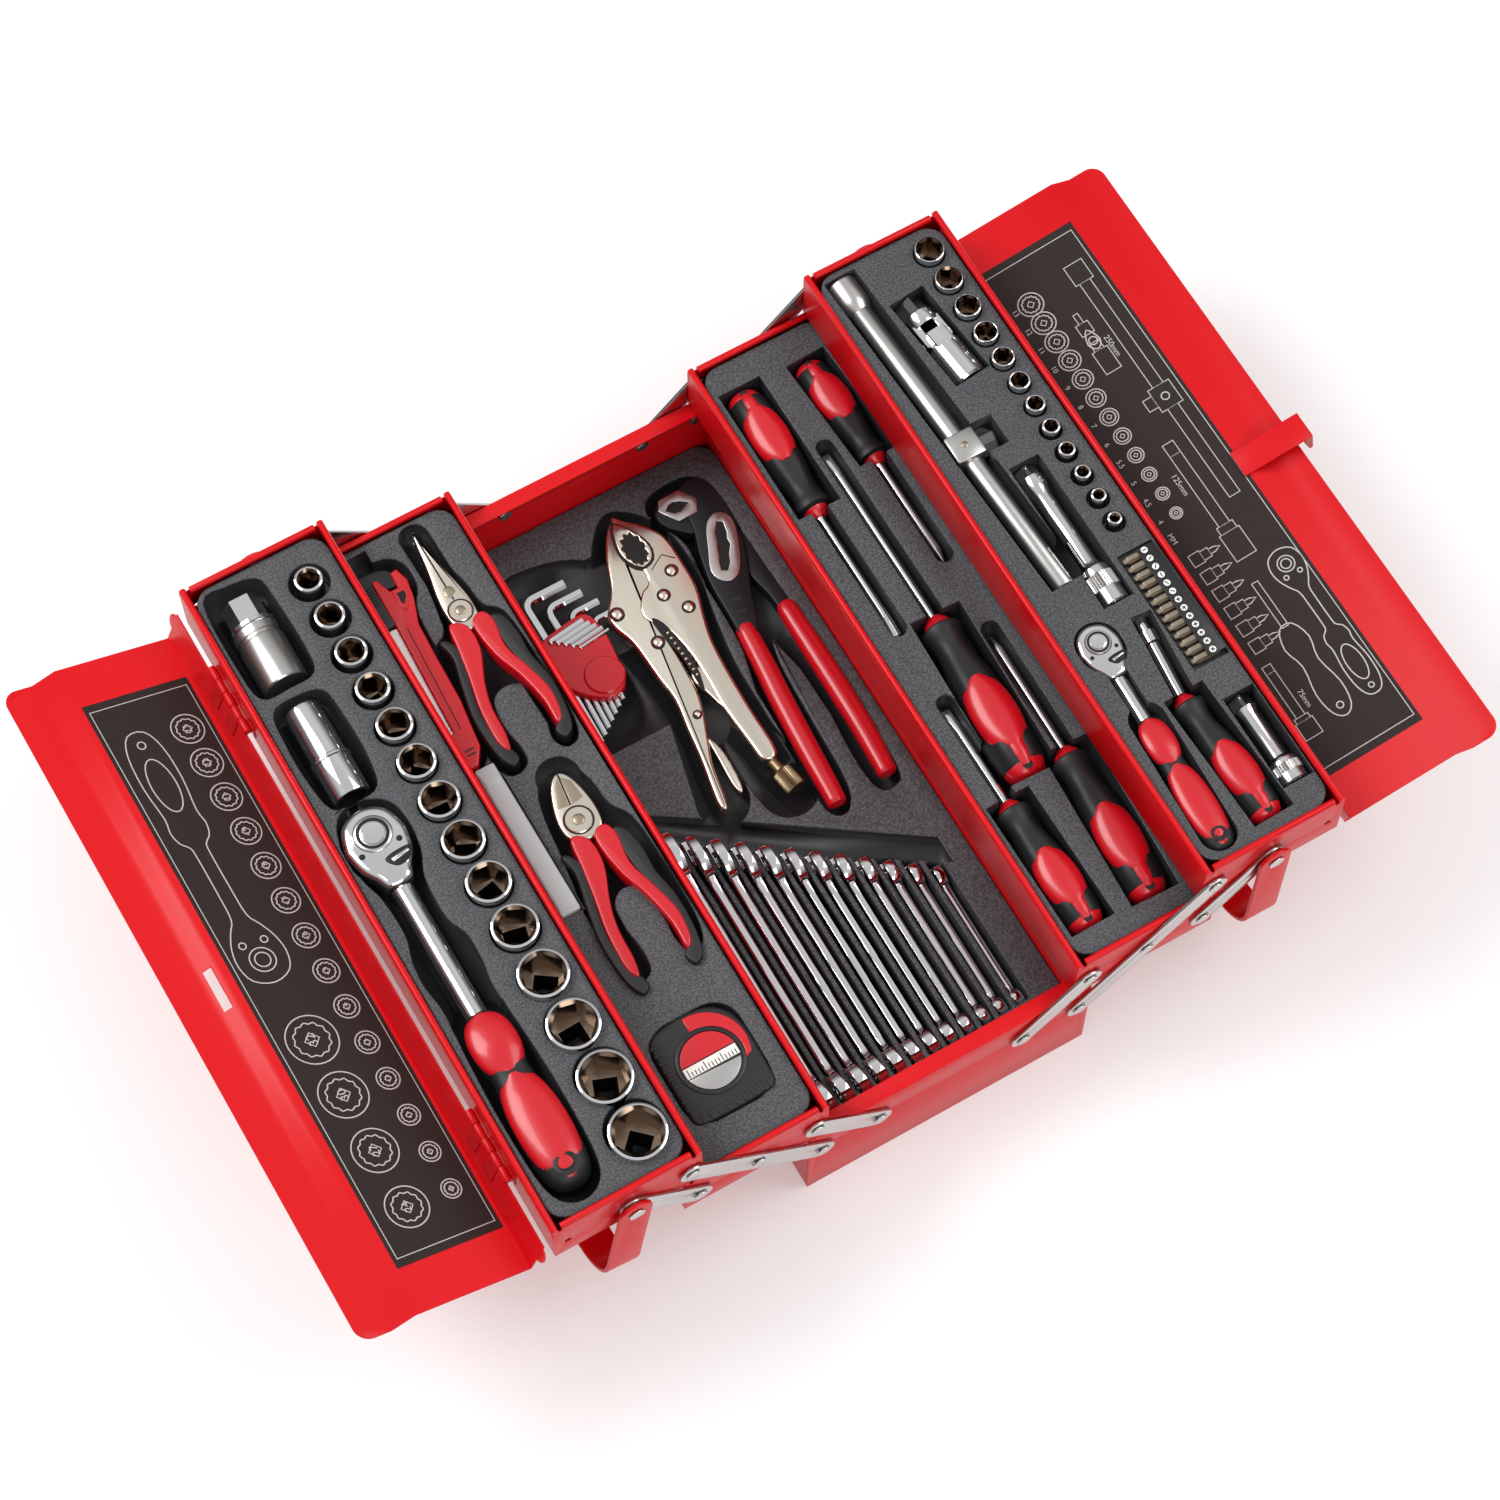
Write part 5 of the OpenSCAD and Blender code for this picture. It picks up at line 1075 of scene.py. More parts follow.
class TOOLBOX_OT_locking_pliers(bpy.types.Operator):
    """Shape the locking pliers with their spring, rivets and adjusting screw"""

    bl_idname = "toolbox.locking_pliers"
    bl_label = "Locking pliers"

    def execute(self, context):
        low, high = -8, 4
        # Fixed jaw and main handle, pressed from thick nickel-plated sheet.
        body = [(12, 193), (20, 188), (28, 180), (35, 168), (36, 148), (35, 129), (30, 112), (26, 96),
                (24, 76),
                (23, 46), (22.6, 14), (12.6, 13), (11, 26), (9, 54), (9.6, 70), (9.5, 92), (6, 112),
                (-3, 128),
                (4, 142), (12, 150)]
        parts = [(plate(eased(body, 4), low, high, 2.0), "nickel")]
        lower = [(12, 192), (5, 186), (-3, 172), (-10, 154), (-17, 144), (-20.5, 138), (-20, 129), (-16, 116),
                 (-14.5, 90), (-13, 72), (-16, 52), (-19, 30), (-24, 3), (-22, -3), (-18.5, 0), (-14, 24),
                 (-9, 38),
                 (-2, 56), (2, 71), (3.4, 92), (4, 112), (8, 128), (14, 146), (14, 160), (10, 176)]
        parts.append((plate(eased(lower, 4), low, high - 0.7, 2.0), "nickel"))
        # The two jaw blocks stand proud round a toothed mouth.
        lip = [(11.6, 189), (19, 181), (23.6, 168), (21, 158.5), (12.6, 156.5), (6.6, 166), (7, 178)]
        teeth = spun((14.8, 169), 6.2, 44, lobed(11, 0.12))
        mouth = [(x, 169 + (y - 169) * 1.75) for x, y in teeth]
        parts.append((plate(eased([(12 + (x - 13.6) * 1.14 + 1.2, 171 + (y - 171) * 1.1) for x, y in lip], 3),
                            high - 0.4, high + 0.12, 0), "oxide"))
        parts.append((plate(eased(lip, 4), low + 2, high + 1.2, 0.8, [mouth]), "nickel"))
        # The mouth is filled near-black: painted shade.
        parts.append((plate(mouth, high - 1, high + 0.3, 0), "shade_and_print_black"))
        # Pressed outline of the side plate as dark lines of painted shade, and a black plate of painted shade
        # in the gap that shows the spring.
        seam = [(17, 152), (27, 158), (33, 152)]
        for (x0, y0), (x1, y1) in zip(seam, seam[1:]):
            parts.append(slit((x0, y0), (x1, y1), 0.6, high))
        gap = [(1, 124), (6, 118), (9, 100), (9, 84), (6, 70), (4, 70), (4.4, 92), (2, 108)]
        parts.append((plate(eased(gap, 3), high - 0.7, high + 0.1, 0), "shade_and_print_black"))
        trip = [(9.4, 84), (12, 78), (12.4, 66), (12, 52), (9, 54), (6, 66), (3, 76), (5, 84)]
        parts.append((plate(eased(trip, 3), low, high - 0.3, 1.0), "nickel"))
        second = [(-8, 44), (-4, 30), (-5, 8), (-8, 2), (-10, 10), (-9, 28)]
        parts.append((plate(eased(second, 3), low, high - 3, 1.0), "nickel"))
        for x, y, r in [(27, 146, 3.4), (15, 134, 3.4), (24, 120, 3.4), (-15, 137, 3.6), (-3, 109, 3.4),
                        (-6, 57, 2.2)]:
            parts.append((dome((x, y, high + 0.1), (r, r, 1.5), 20), "nickel"))
            parts.append((turned([(0, r * 1.28), (0.2, r * 1.22), (0.2, r)], (x, y, high - 0.05),
                                 (x, y, high + 1), 24),
                          "oxide"))
        coil = []
        for turn_number in range(9):
            y = 112 - 4 * turn_number
            x = 5.2 + turn_number * 0.2
            coil.append((turned([(0, 1.4), (0.5, 2.0), (1.2, 2.0), (1.7, 1.4)], (x, y, high - 1),
                                (x, y - 2, high - 1), 16),
                         "ground"))
        parts += coil
        ribs = context.scene.toolbox_shape.knurl_rows
        way = along((17, 16, -2), (22, -13, -2))
        knurl = lobed(ribs, 0.05)
        screw = [(0, 3.4), (8, 3.4), (12, 3.8), (13, 5.6), (13.6, 6), (26, 6), (26.8, 5.6), (27, 4)]
        parts.append((sections(way, [(s, r, r, knurl if 13.2 < s < 26.4 else circle) for s, r in screw],
                               ribs * 4),
                      "brass"))
        assemble("locking_pliers_tool", parts, "locking_pliers", BASE)
        return {"FINISHED"}


# ---------- spanners and hex keys ----------
class TOOLBOX_OT_spanners(bpy.types.Operator):
    """Stand the twelve combination spanners on edge in their grooves"""

    bl_idname = "toolbox.spanners"
    bl_label = "Combination spanners"

    def execute(self, context):
        parts = []
        for number in range(12):
            f = number / 11
            x = (number - 5.5) * 11.6 + 2
            jaw, span = 34 - 19 * f, 168 - 83 * f
            eye = 0.76 * jaw
            eye_z, jaw_z = eye / 2 - 17, jaw / 2 - 17
            # Plan of the spanner is drawn in X and Y, then stood on its edge.
            stand = Matrix.Translation((x, -182, 0)) @ Matrix(
                ((0, 0, 1, 0), (1, 0, 0, 0), (0, 1, 0, 0), (0, 0, 0, 1)))
            tilt = Matrix.Translation((0, eye_z, 0)) @ Matrix.Rotation(radians(9), 4,
                                                                       "Y") @ Matrix.Translation(
                (0, -eye_z, 0))
            parts.append((plate(spun((0, eye_z), eye / 2, 40), -3.4, 3.4, 0.9,
                                [spun((0, eye_z), eye * 0.29, 48, twelve_point)], stand @ tilt), "chrome"))
            slope = (jaw_z - eye_z) / span
            half = eye / 6

            def centre(u):
                return eye_z + slope * u

            shank = [(eye * 0.4, centre(eye * 0.4) + half * 1.5), (eye * 0.85, centre(eye) + half * 0.92),
                     (span * 0.5, centre(span * 0.5) + half * 0.85),
                     (span - jaw * 0.8, centre(span - jaw * 0.8) + half),
                     (span - jaw * 0.4, centre(span) + half * 1.6),
                     (span - jaw * 0.4, centre(span) - half * 1.6),
                     (span - jaw * 0.8, centre(span - jaw * 0.8) - half),
                     (span * 0.5, centre(span * 0.5) - half * 0.85),
                     (eye * 0.85, centre(eye) - half * 0.92), (eye * 0.4, centre(eye * 0.4) - half * 1.5)]
            parts.append((plate(eased(shank, 4), -2.5, 2.5, 1.3, place=stand), "chrome"))
            r, gap = jaw / 2, jaw * 0.23
            claw = arc((span, jaw_z), r, 45, 346, 15)
            lean = radians(15)
            inner = []
            for u, v in [(r * 0.75, -gap), (r * 0.1, -gap), (-r * 0.12, -gap * 0.55), (-r * 0.12, gap * 0.55),
                         (r * 0.1, gap), (r * 0.75, gap)]:
                inner.append((span + u * cos(lean) - v * sin(lean), jaw_z + u * sin(lean) + v * cos(lean)))
            parts.append((plate(claw + inner, -2.9, 2.9, 0.7, place=stand), "chrome"))
        assemble("spanner_set", parts, "spanners", BASE, sharp=30)
        return {"FINISHED"}


def straight_key(a, b, radius):
    """A six-sided bar from a to b."""
    return loft([(along(p, p + (b - a)), radius, radius, polygonal(6)) for p in (a, b)], sides=24), "chrome"


class TOOLBOX_OT_hex_keys(bpy.types.Operator):
    """Bend the hex keys and mould their holder"""

    bl_idname = "toolbox.hex_keys"
    bl_label = "Hex keys"

    def execute(self, context):
        parts = []
        for number in range(4):
            x, y = -58 + number * 10, 173 - number * 10
            r, bend = (6 - 0.7 * number) / 2, 6 - number * 0.6
            short = 27 - 4 * number
            path = [Vector((x + short, y, -3)), Vector((x + bend, y, -3))]
            path += [Vector((x + bend - bend * sin(a), y - bend + bend * cos(a), -3))
                     for a in (radians(d) for d in range(15, 90, 15))]
            path += [Vector((x, y - bend, -3)), Vector((x, 132, -3))]
            stations = []
            for i, p in enumerate(path):
                way = path[min(i + 1, len(path) - 1)] - path[max(i - 1, 0)]
                stations.append((along(p, p + way), r, r, polygonal(6)))
            parts.append((loft(stations, sides=24), "chrome"))
        holder = [(-64, 142), (-46, 148), (-33, 149), (-28, 144), (-26, 132), (-27, 118), (-30, 100),
                  (-38, 93),
                  (-48, 95), (-58, 104), (-64, 116)]
        parts.append((plate(eased(holder, 4), -8, 1.4, 1.4), "red_grip"))
        parts.append((turned([(0, 0), (0, 12.4), (0.8, 12.2), (1.5, 11.4), (1.5, 0)],
                             (-40, 107, 1.2), (-40, 107, 3)), "red_grip"))
        # Five small keys lie across the holder in a window, and their long ends pass below it.
        for number in range(5):
            a = Vector((-57 + 3.4 * number, 141.5 - 3.0 * number, 1.6))
            b = Vector((-34 + 2.6 * number, 144.5 - 3.2 * number, 1.6))
            r = 1.9 - 0.2 * number
            parts.append(straight_key(a, b, r))
            parts.append((dome(tuple(a), (r, r, r), 12), "chrome"))
        for number in range(7):
            a = Vector((-60 + 4.2 * number, 108, -4))
            b = Vector((-61 + 4.0 * number, 72 + 3 * number, -4))
            parts.append(straight_key(a, b, 1.5))
        assemble("hex_key_set_tool", parts, "hex_key_set", BASE, sharp=28)
        return {"FINISHED"}


# ---------- knife, blade case and tape ----------
class TOOLBOX_OT_knife(bpy.types.Operator):
    """Shape the snap-off knife and the blade case beside it"""

    bl_idname = "toolbox.knife"
    bl_label = "Knife and blade case"

    def execute(self, context):
        # Red frame: a narrow back that widens to a loop beside the slider.
        frame = [(-33, 62), (-28, 56), (-22, 56), (-15.5, 66), (-11.5, 96), (-10.5, 130), (-9.5, 150),
                 (-4, 166),
                 (-2, 178), (-4.5, 187), (-9, 186), (-9.5, 176), (-14, 176), (-17.5, 186), (-21, 186),
                 (-22, 150),
                 (-24, 110), (-25, 80), (-33, 78)]
        parts = [(plate(frame, -9, 2, 1.2), "red_grip")]
        parts.append((plate([(-34, 78), (-24.5, 79), (-21.6, 150), (-22, 154), (-34, 154)], -9, 0.6, 0.4),
                      "white"))
        for step in range(24):
            y = 82 + 2.9 * step
            parts.append((block((-25.2 + 0.047 * (y - 80), y, 0.5), (-23 + 0.047 * (y - 80), y + 1.5, 1.5),
                                0), "shade_and_print_black"))
        parts.append((plate([(-20.6, 80), (-20.0, 80), (-16.4, 150), (-17.0, 150)], 1.9, 2.05, 0), "shade_and_print_black"))
        parts.append((block((-36, 155, -6), (-21.5, 184, 3.6), 0.8), "nylon"))
        for step in range(7):
            parts.append((block((-35, 170 + 2 * step, 3.4), (-23, 171 + 2 * step, 4.3), 0.2), "nylon"))
        parts.append((plate(eased([(-37, 184), (-30, 192), (-14, 192), (-7, 186), (-8, 178), (-20, 180)], 3),
                            -9, 0.5, 1.2),
                      "nylon"))
        loop = [(-13.6, 175), (-4.8, 174.5), (-5.6, 168), (-11.6, 160), (-13.8, 164)]
        parts.append((plate(loop, 1.8, 2.7, 0.3, [[(-11.6, 172.6), (-7, 172.4), (-7.4, 169), (-10.8, 164.4),
                                                    (-11.8, 166)]]), "red_grip"))
        # The loop's hole is filled near-black: painted shade.
        parts.append((plate([(-11.6, 172.6), (-7, 172.4), (-7.4, 169), (-10.8, 164.4), (-11.8, 166)], 1.8,
                            2.1, 0),
                      "shade_and_print_black"))
        for step in range(2):
            parts.append((block((-25, 63 + 3 * step, 1.9), (-19.5, 64 + 3 * step, 2.2), 0), "nylon"))
        assemble("snap_knife_tool", parts, "snap_knife", LEFT_MIDDLE)

        case = [(block((-26, -47, -10), (-14, 54, 1.2), 1.2), "frost"),
                (block((-25, -44, 1.0), (-15, 51, 1.6), 0.4), "frost"),
                (block((-24.5, 40, 1.4), (-15.5, 46, 2.0), 0.4), "frost")]
        assemble("blade_case_tool", case, "blade_case", LEFT_MIDDLE)
        return {"FINISHED"}


class TOOLBOX_OT_tape(bpy.types.Operator):
    """Shape the tape measure with its ribbed rubber case"""

    bl_idname = "toolbox.tape"
    bl_label = "Tape measure"

    def execute(self, context):
        cx, cy, top = 3, -160, 3
        case = eased([(cx - 26, cy - 20), (cx - 24, cy - 28), (cx - 14, cy - 30), (cx + 14, cy - 30),
                      (cx + 24, cy - 28), (cx + 26, cy - 18), (cx + 26, cy + 10), (cx + 20, cy + 24),
                      (cx + 8, cy + 30), (cx - 12, cy + 30), (cx - 24, cy + 25), (cx - 26, cy + 12)], 4)
        parts = [(plate(case, -27, top - 1.0, 2.2), "black_grip")]
        for step in range(9):
            x = cx - 21 + 5.2 * step
            parts.append((block((x, cy - 29.2, top - 1.6), (x + 2.0, cy - 23.5, top - 0.4), 0.4),
                          "black_grip"))
            parts.append((block((cx - 25.4, cy - 20 + 5 * step, top - 1.6),
                                (cx - 20.5, cy - 18 + 5 * step, top - 0.4), 0.4),
                          "black_grip"))
        crescent = arc((cx, cy + 4), 24.2, -25, 96, 8) + arc((cx, cy), 19.6, 96, -26, -8)
        parts.append((plate(crescent, top - 2, top - 0.3, 0.5), "red_grip"))
        parts.append((turned([(0, 0), (0, 19.6), (0.8, 19.4), (1.2, 18.6), (1.2, 17.2), (0.4, 16.8),
                              (0.4, 0)],
                             (cx, cy, top - 1.1), (cx, cy, top)), "nylon"))
        upper = arc((cx, cy), 16.6, 10, 171, 8)
        lower = arc((cx, cy), 16.6, -164, -15, 8)
        band = [(cx - 16.2, cy + 2.2), (cx - 16.2, cy - 4), (cx + 16.2, cy - 4), (cx + 16.2, cy + 2.2)]
        parts.append((plate(upper, top - 0.9, top - 0.1, 0.2), "red_grip"))
        parts.append((plate(lower, top - 0.9, top - 0.1, 0.2), "satin"))
        parts.append((plate(band, top - 0.9, top - 0.2, 0.1), "white"))
        for step in range(15):
            x = cx - 14.5 + 2.05 * step
            parts.append((block((x, cy - 3.8, top - 0.3),
                                (x + 0.5, cy - (0.8 if step % 5 else -1.2), top - 0.12), 0),
                          "shade_and_print_black"))
        assemble("tape_measure_tool", parts, "tape_measure", LEFT_MIDDLE)
        return {"FINISHED"}


# ---------- quarter inch drive and bars ----------
def knurled(start, end, radius, ribs):
    """A knurled band between two points."""
    long = (Vector(end) - Vector(start)).length
    way = along(start, end)
    shape = lobed(ribs, 0.03)
    return sections(way, [(s, r, r, shape if 0.5 < s < long - 0.5 else circle) for s, r in
                          [(0, radius - 0.6), (0.8, radius), (long - 0.8, radius), (long, radius - 0.6)]],
                    ribs * 4)


def square_drive(start, end, half, length):
    """A square drive with its ball, from start towards end."""
    way = along(start, end)
    four = polygonal(4)
    return [(sections(way, [(-1, half, half, four), (length - 1.2, half, half, four),
                            (length, half - 1.0, half - 1.0, four)], 24), "chrome"),
            (dome(tuple(way @ Vector((0, half, length * 0.6))), (1.5, 1.5, 1.5), 16), "chrome")]


class TOOLBOX_OT_bars(bpy.types.Operator):
    """Shape the sliding bar and the two extensions"""

    bl_idname = "toolbox.bars"
    bl_label = "Bars and extensions"

    def execute(self, context):
        z, ribs = -8, 36
        head, end = Vector((-26, 206, z)), Vector((-16, -26, z))
        line = end - head
        parts = [(rod(head + line * 0.02, end, 6.5, 1.6), "satin")]
        way = along(head, end)
        four = polygonal(4)
        parts.append((turned([(0, 0), (0, 6.8), (0.7, 8.6), (2, 9.4), (16, 9.4), (20, 8.2), (23, 6.6),
                              (23, 0)], head, end),
                      "satin"))
        # The square hole in the head is lined near-black: painted shade.
        parts.append((sections(way, [(-0.05, 6.3, 6.3, four), (0.4, 6.2, 6.2, four)], 24), "shade_and_print_black"))
        mid = head + line * 0.56
        parts.append((block((mid.x - 9.4, mid.y - 9.4, z - 9.4), (mid.x + 9.4, mid.y + 9.4, z + 9.4), 1.8),
                      "satin"))
        parts += square_drive((mid.x + 9, mid.y, z), (mid.x + 20, mid.y, z), 6.3, 9.8)
        parts.append((dome((mid.x, mid.y, z + 9.3), (2.2, 2.2, 0.6), 16), "ground"))
        for a, b in [((3, 50, z), (3, -50, z)), ((30, -131, z), (30, -191, z))]:
            a, b = Vector(a), Vector(b)
            long, unit = (b - a).length, (b - a).normalized()
            parts += square_drive(tuple(a + unit * 7), tuple(a), 4.6, 7)
            parts.append((turned([(7, 0), (7, 5.4), (8, 6.8), (long * 0.14, 7.3), (long * 0.17, 6.4),
                                  (long * 0.22, 5.4),
                                  (long * 0.7, 5.4), (long * 0.73, 6.6), (long * 0.75, 8.6), (long * 0.77, 9),
                                  (long - 1.2, 9), (long - 0.2, 8), (long, 6.9), (long, 0)], a, b), "chrome"))
            parts.append((knurled(tuple(a + unit * long * 0.79), tuple(a + unit * long * 0.9), 9.25, ribs),
                          "satin"))
            # A near-black disc at the open end stands for the drive hole: painted shade.
            parts.append((dome(tuple(b), (4.6, 0.15, 4.6), 16), "shade_and_print_black"))
        assemble("bar_and_extensions", parts, "drive_bars", RIGHT_TOP, sharp=30)
        return {"FINISHED"}


class TOOLBOX_OT_universal_joint(bpy.types.Operator):
    """Shape the universal joint"""

    bl_idname = "toolbox.universal_joint"
    bl_label = "Universal joint"

    def execute(self, context):
        a, b = Vector((1, 176, -8)), Vector((7, 113, -8))
        long, unit = (b - a).length, (b - a).normalized()
        parts = square_drive(tuple(a + unit * 10), tuple(a), 6.2, 10)
        parts.append((turned([(10, 0), (10, 7.2), (11.5, 9), (18, 9.6), (20, 8.8), (20, 0)], a, b), "chrome"))
        way = along(a, b)
        for side in (-1, 1):
            fork = [(side * 9.4, 17), (side * 9.4, 33), (side * 6.4, 36), (side * 4.2, 33), (side * 4.2, 17)]
            parts.append((plate(fork, -5.5, 5.5, 1.0, place=way @ Matrix(
                ((1, 0, 0, 0), (0, 0, 1, 0), (0, 1, 0, 0), (0, 0, 0, 1)))), "chrome"))
        centre = a + unit * 30
        parts.append((dome(tuple(centre), (6.4, 6.4, 6.4), 24), "satin"))
        across = Z.cross(unit).normalized()
        parts.append((rod(tuple(centre - across * 10), tuple(centre + across * 10), 2.6, 0.4), "ground"))
        parts.append((rod(tuple(centre - Z * 9), tuple(centre + Z * 9), 2.6, 0.4), "ground"))
        for side in (-1, 1):
            ear = [(side * 5, 27), (side * 9.8, 27), (side * 10.6, 38), (side * 5, 38)]
            parts.append((plate(ear, -6, 6, 1.0, place=way @ Matrix(
                ((0, 0, 1, 0), (1, 0, 0, 0), (0, 1, 0, 0), (0, 0, 0, 1)))), "chrome"))
        parts.append((turned([(35, 0), (35, 9), (36.5, 10.8), (long - 1.4, 11), (long - 0.2, 10), (long, 8.8),
                              (long, 7.6)],
                             a, b), "chrome"))
        # The drive hole is lined near-black: painted shade.
        parts.append((turned([(long, 7.6), (long - 9, 6.4), (long - 9, 0)], a, b), "shade_and_print_black"))
        assemble("universal_joint_tool", parts, "universal_joint", RIGHT_TOP, sharp=30)
        return {"FINISHED"}


class TOOLBOX_OT_bits(bpy.types.Operator):
    """Lay the screwdriver bits in their strip"""

    bl_idname = "toolbox.bits"
    bl_label = "Screwdriver bits"

    def execute(self, context):
        parts = []
        for number in range(13):
            y = -32 - number * 5.9
            way = along((17, y, 0), (35, y, 0))
            six = polygonal(6)
            parts.append((sections(way, [(0, 1.2, 1.2), (0.5, 1.7, 1.7), (2.5, 1.9, 1.9),
                                         (3.4, 2.25, 2.25, six),
                                         (18, 2.25, 2.25, six)], 24), "bit_steel"))
            parts.append((turned([(0, 0), (0, 2.0), (0.12, 2.0), (0.12, 0)], (31, y, 3.1), (31, y, 4), 20),
                          "white"))
            slot = Matrix.Translation((31, y, 3.2)) @ Matrix.Rotation(radians(28 * number), 4, "Z")
            parts.append((block((-1.3, -0.3, 0), (1.3, 0.3, 0.12), 0, slot), "shade_and_print_black"))
            if number > 5:
                parts.append((block((-0.3, -1.3, 0), (0.3, 1.3, 0.12), 0, slot), "shade_and_print_black"))
        parts.append((block((27, -105.3, 2.3), (38, -29.5, 3.2), 0.3), "nylon"))
        parts.append((block((35, -105.3, -2.5), (38, -29.5, 2.4), 0.3), "nylon"))
        assemble("bit_row", parts, "bit_set", RIGHT_TOP, sharp=28)
        return {"FINISHED"}


class TOOLBOX_OT_spinner(bpy.types.Operator):
    """Shape the quarter inch spinner handle"""

    bl_idname = "toolbox.spinner"
    bl_label = "Spinner handle"

    def execute(self, context):
        parts = driver_handle((7, -202), (4, -116), -10, 24)
        parts.append((turned([(0, 3.8), (34, 3.8), (35, 5.2), (42, 5.2), (43, 3.4), (50, 3.2), (51.6, 2.4),
                              (51.6, 0)],
                             (4, -114, -9), (9, -64, -8), 32), "chrome"))
        assemble("spinner_handle_tool", parts, "spinner_handle", RIGHT_TOP)
        return {"FINISHED"}


# ---------- tool charts ----------
def chart_frame(side):
    """Turns chart coordinates (out from the hinge, along the box) into the open lid's inner face."""
    place = Matrix.Translation((HINGE_OUT, 0, HINGE_UP)) @ Matrix.Rotation(radians(LID_OPEN[side]), 4, "Y")
    flip = Matrix.Diagonal((-1, 1, 1, 1)) if side == "left" else Matrix.Identity(4)
    return flip @ place @ Matrix(((-1, 0, 0, 0), (0, 1, 0, 0), (0, 0, 1, CHART_HEIGHT), (0, 0, 0, 1)))


def line_art(paths, wide):
    """Thin flat ink lines along open or closed plan paths."""
    curve = bpy.data.curves.new("ink", "CURVE")
    curve.dimensions = "3D"
    curve.bevel_depth, curve.bevel_resolution = wide / 2, 1
    for points, closed in paths:
        spline = curve.splines.new("POLY")
        spline.points.add(len(points) - 1)
        for dot, p in zip(spline.points, points):
            dot.co = (p[0], p[1], 0, 1)
        spline.use_cyclic_u = closed
    return curve_mesh(curve, 0.05)


def lettering(words, where, high, turn, flip):
    """A size mark in plain figures, centred on a point."""
    text = bpy.data.curves.new("mark", "FONT")
    text.body, text.size = words, high
    text.align_x, text.align_y = "CENTER", "CENTER"
    bm = curve_mesh(text, 1)
    side = Matrix.Diagonal((flip, 1, 1, 1))
    bmesh.ops.transform(bm, matrix=Matrix.Translation((*where, 0)) @ Matrix.Rotation(turn, 4, "Z") @ side,
                        verts=bm.verts)
    return bm


def curve_mesh(curve, squash):
    """A curve's mesh, pressed flat."""
    holder = bpy.data.objects.new("curve", curve)
    bpy.context.scene.collection.objects.link(holder)
    bpy.context.view_layer.update()
    mesh = bpy.data.meshes.new_from_object(holder)
    bm = bmesh.new()
    bm.from_mesh(mesh)
    bmesh.ops.scale(bm, vec=(1, 1, squash), verts=bm.verts)
    bpy.data.objects.remove(holder)
    bpy.data.curves.remove(curve)
    bpy.data.meshes.remove(mesh)
    return bm


def socket_mark(centre, radius, waves=12):
    """Chart outline of a socket seen from above: wall, teeth and drive."""
    teeth = spun(centre, radius * 0.68, 48, lobed(waves, 0.06))
    return [(spun(centre, radius, 32), True), (teeth, True),
            (spun(centre, radius * 0.3, 4, circle), True)]


def box_path(x0, y0, x1, y1):
    return ([(x0, y0), (x1, y0), (x1, y1), (x0, y1)], True)


def ratchet_mark(x, y_head, y_end, wide):
    """Chart outline of a ratchet whose head is at y_head and whose grip ends at y_end."""
    way = 1 if y_end > y_head else -1
    long = abs(y_end - y_head)
    g = wide / 2

    def at(u, v):
        return (x + u, y_head + way * v)

    half = [(0, -g), (g * 0.75, -g * 0.7), (g, 0), (g * 0.9, g * 0.75), (g * 0.6, g * 1.4),
            (g * 0.32, g * 1.9),
            (g * 0.28, long * 0.3), (g * 0.28, long * 0.46), (g * 0.34, long * 0.5), (g * 0.62, long * 0.53),
            (g * 0.74, long * 0.58), (g * 0.66, long * 0.64), (g * 0.8, long * 0.78), (g * 0.72, long * 0.92),
            (g * 0.35, long)]
    outline = [at(*p) for p in half] + [at(-u, v) for u, v in reversed(half[1:])]
    patch = spun(at(0, long * 0.77), g * 0.5, 24)
    patch = [(px, y_head + way * (long * 0.77) + (py - y_head - way * (long * 0.77)) * 2.4) for px,
             py in patch]
    return [(eased(outline, 3), True), (patch, True), (spun(at(0, 0), g * 0.5, 24), True),
            (spun(at(0, 0), g * 0.3, 20), True), (spun(at(0, long * 0.95), g * 0.16, 12), True),
            (spun(at(g * 0.45, g * 0.75), g * 0.14, 12), True),
            (spun(at(-g * 0.45, g * 0.75), g * 0.14, 12), True)]


def extension_mark(x, y0, y1, head, shaft):
    """Chart outline of an extension bar."""
    h, s = head / 2, shaft / 2
    drive, neck, collar = (y0 + (y1 - y0) * f for f in (0.1, 0.72, 0.78))
    return [box_path(x - s, y0, x + s, drive), box_path(x - s, drive, x + s, neck),
            box_path(x - h * 0.8, neck, x + h * 0.8, collar), box_path(x - h, collar, x + h, y1)]


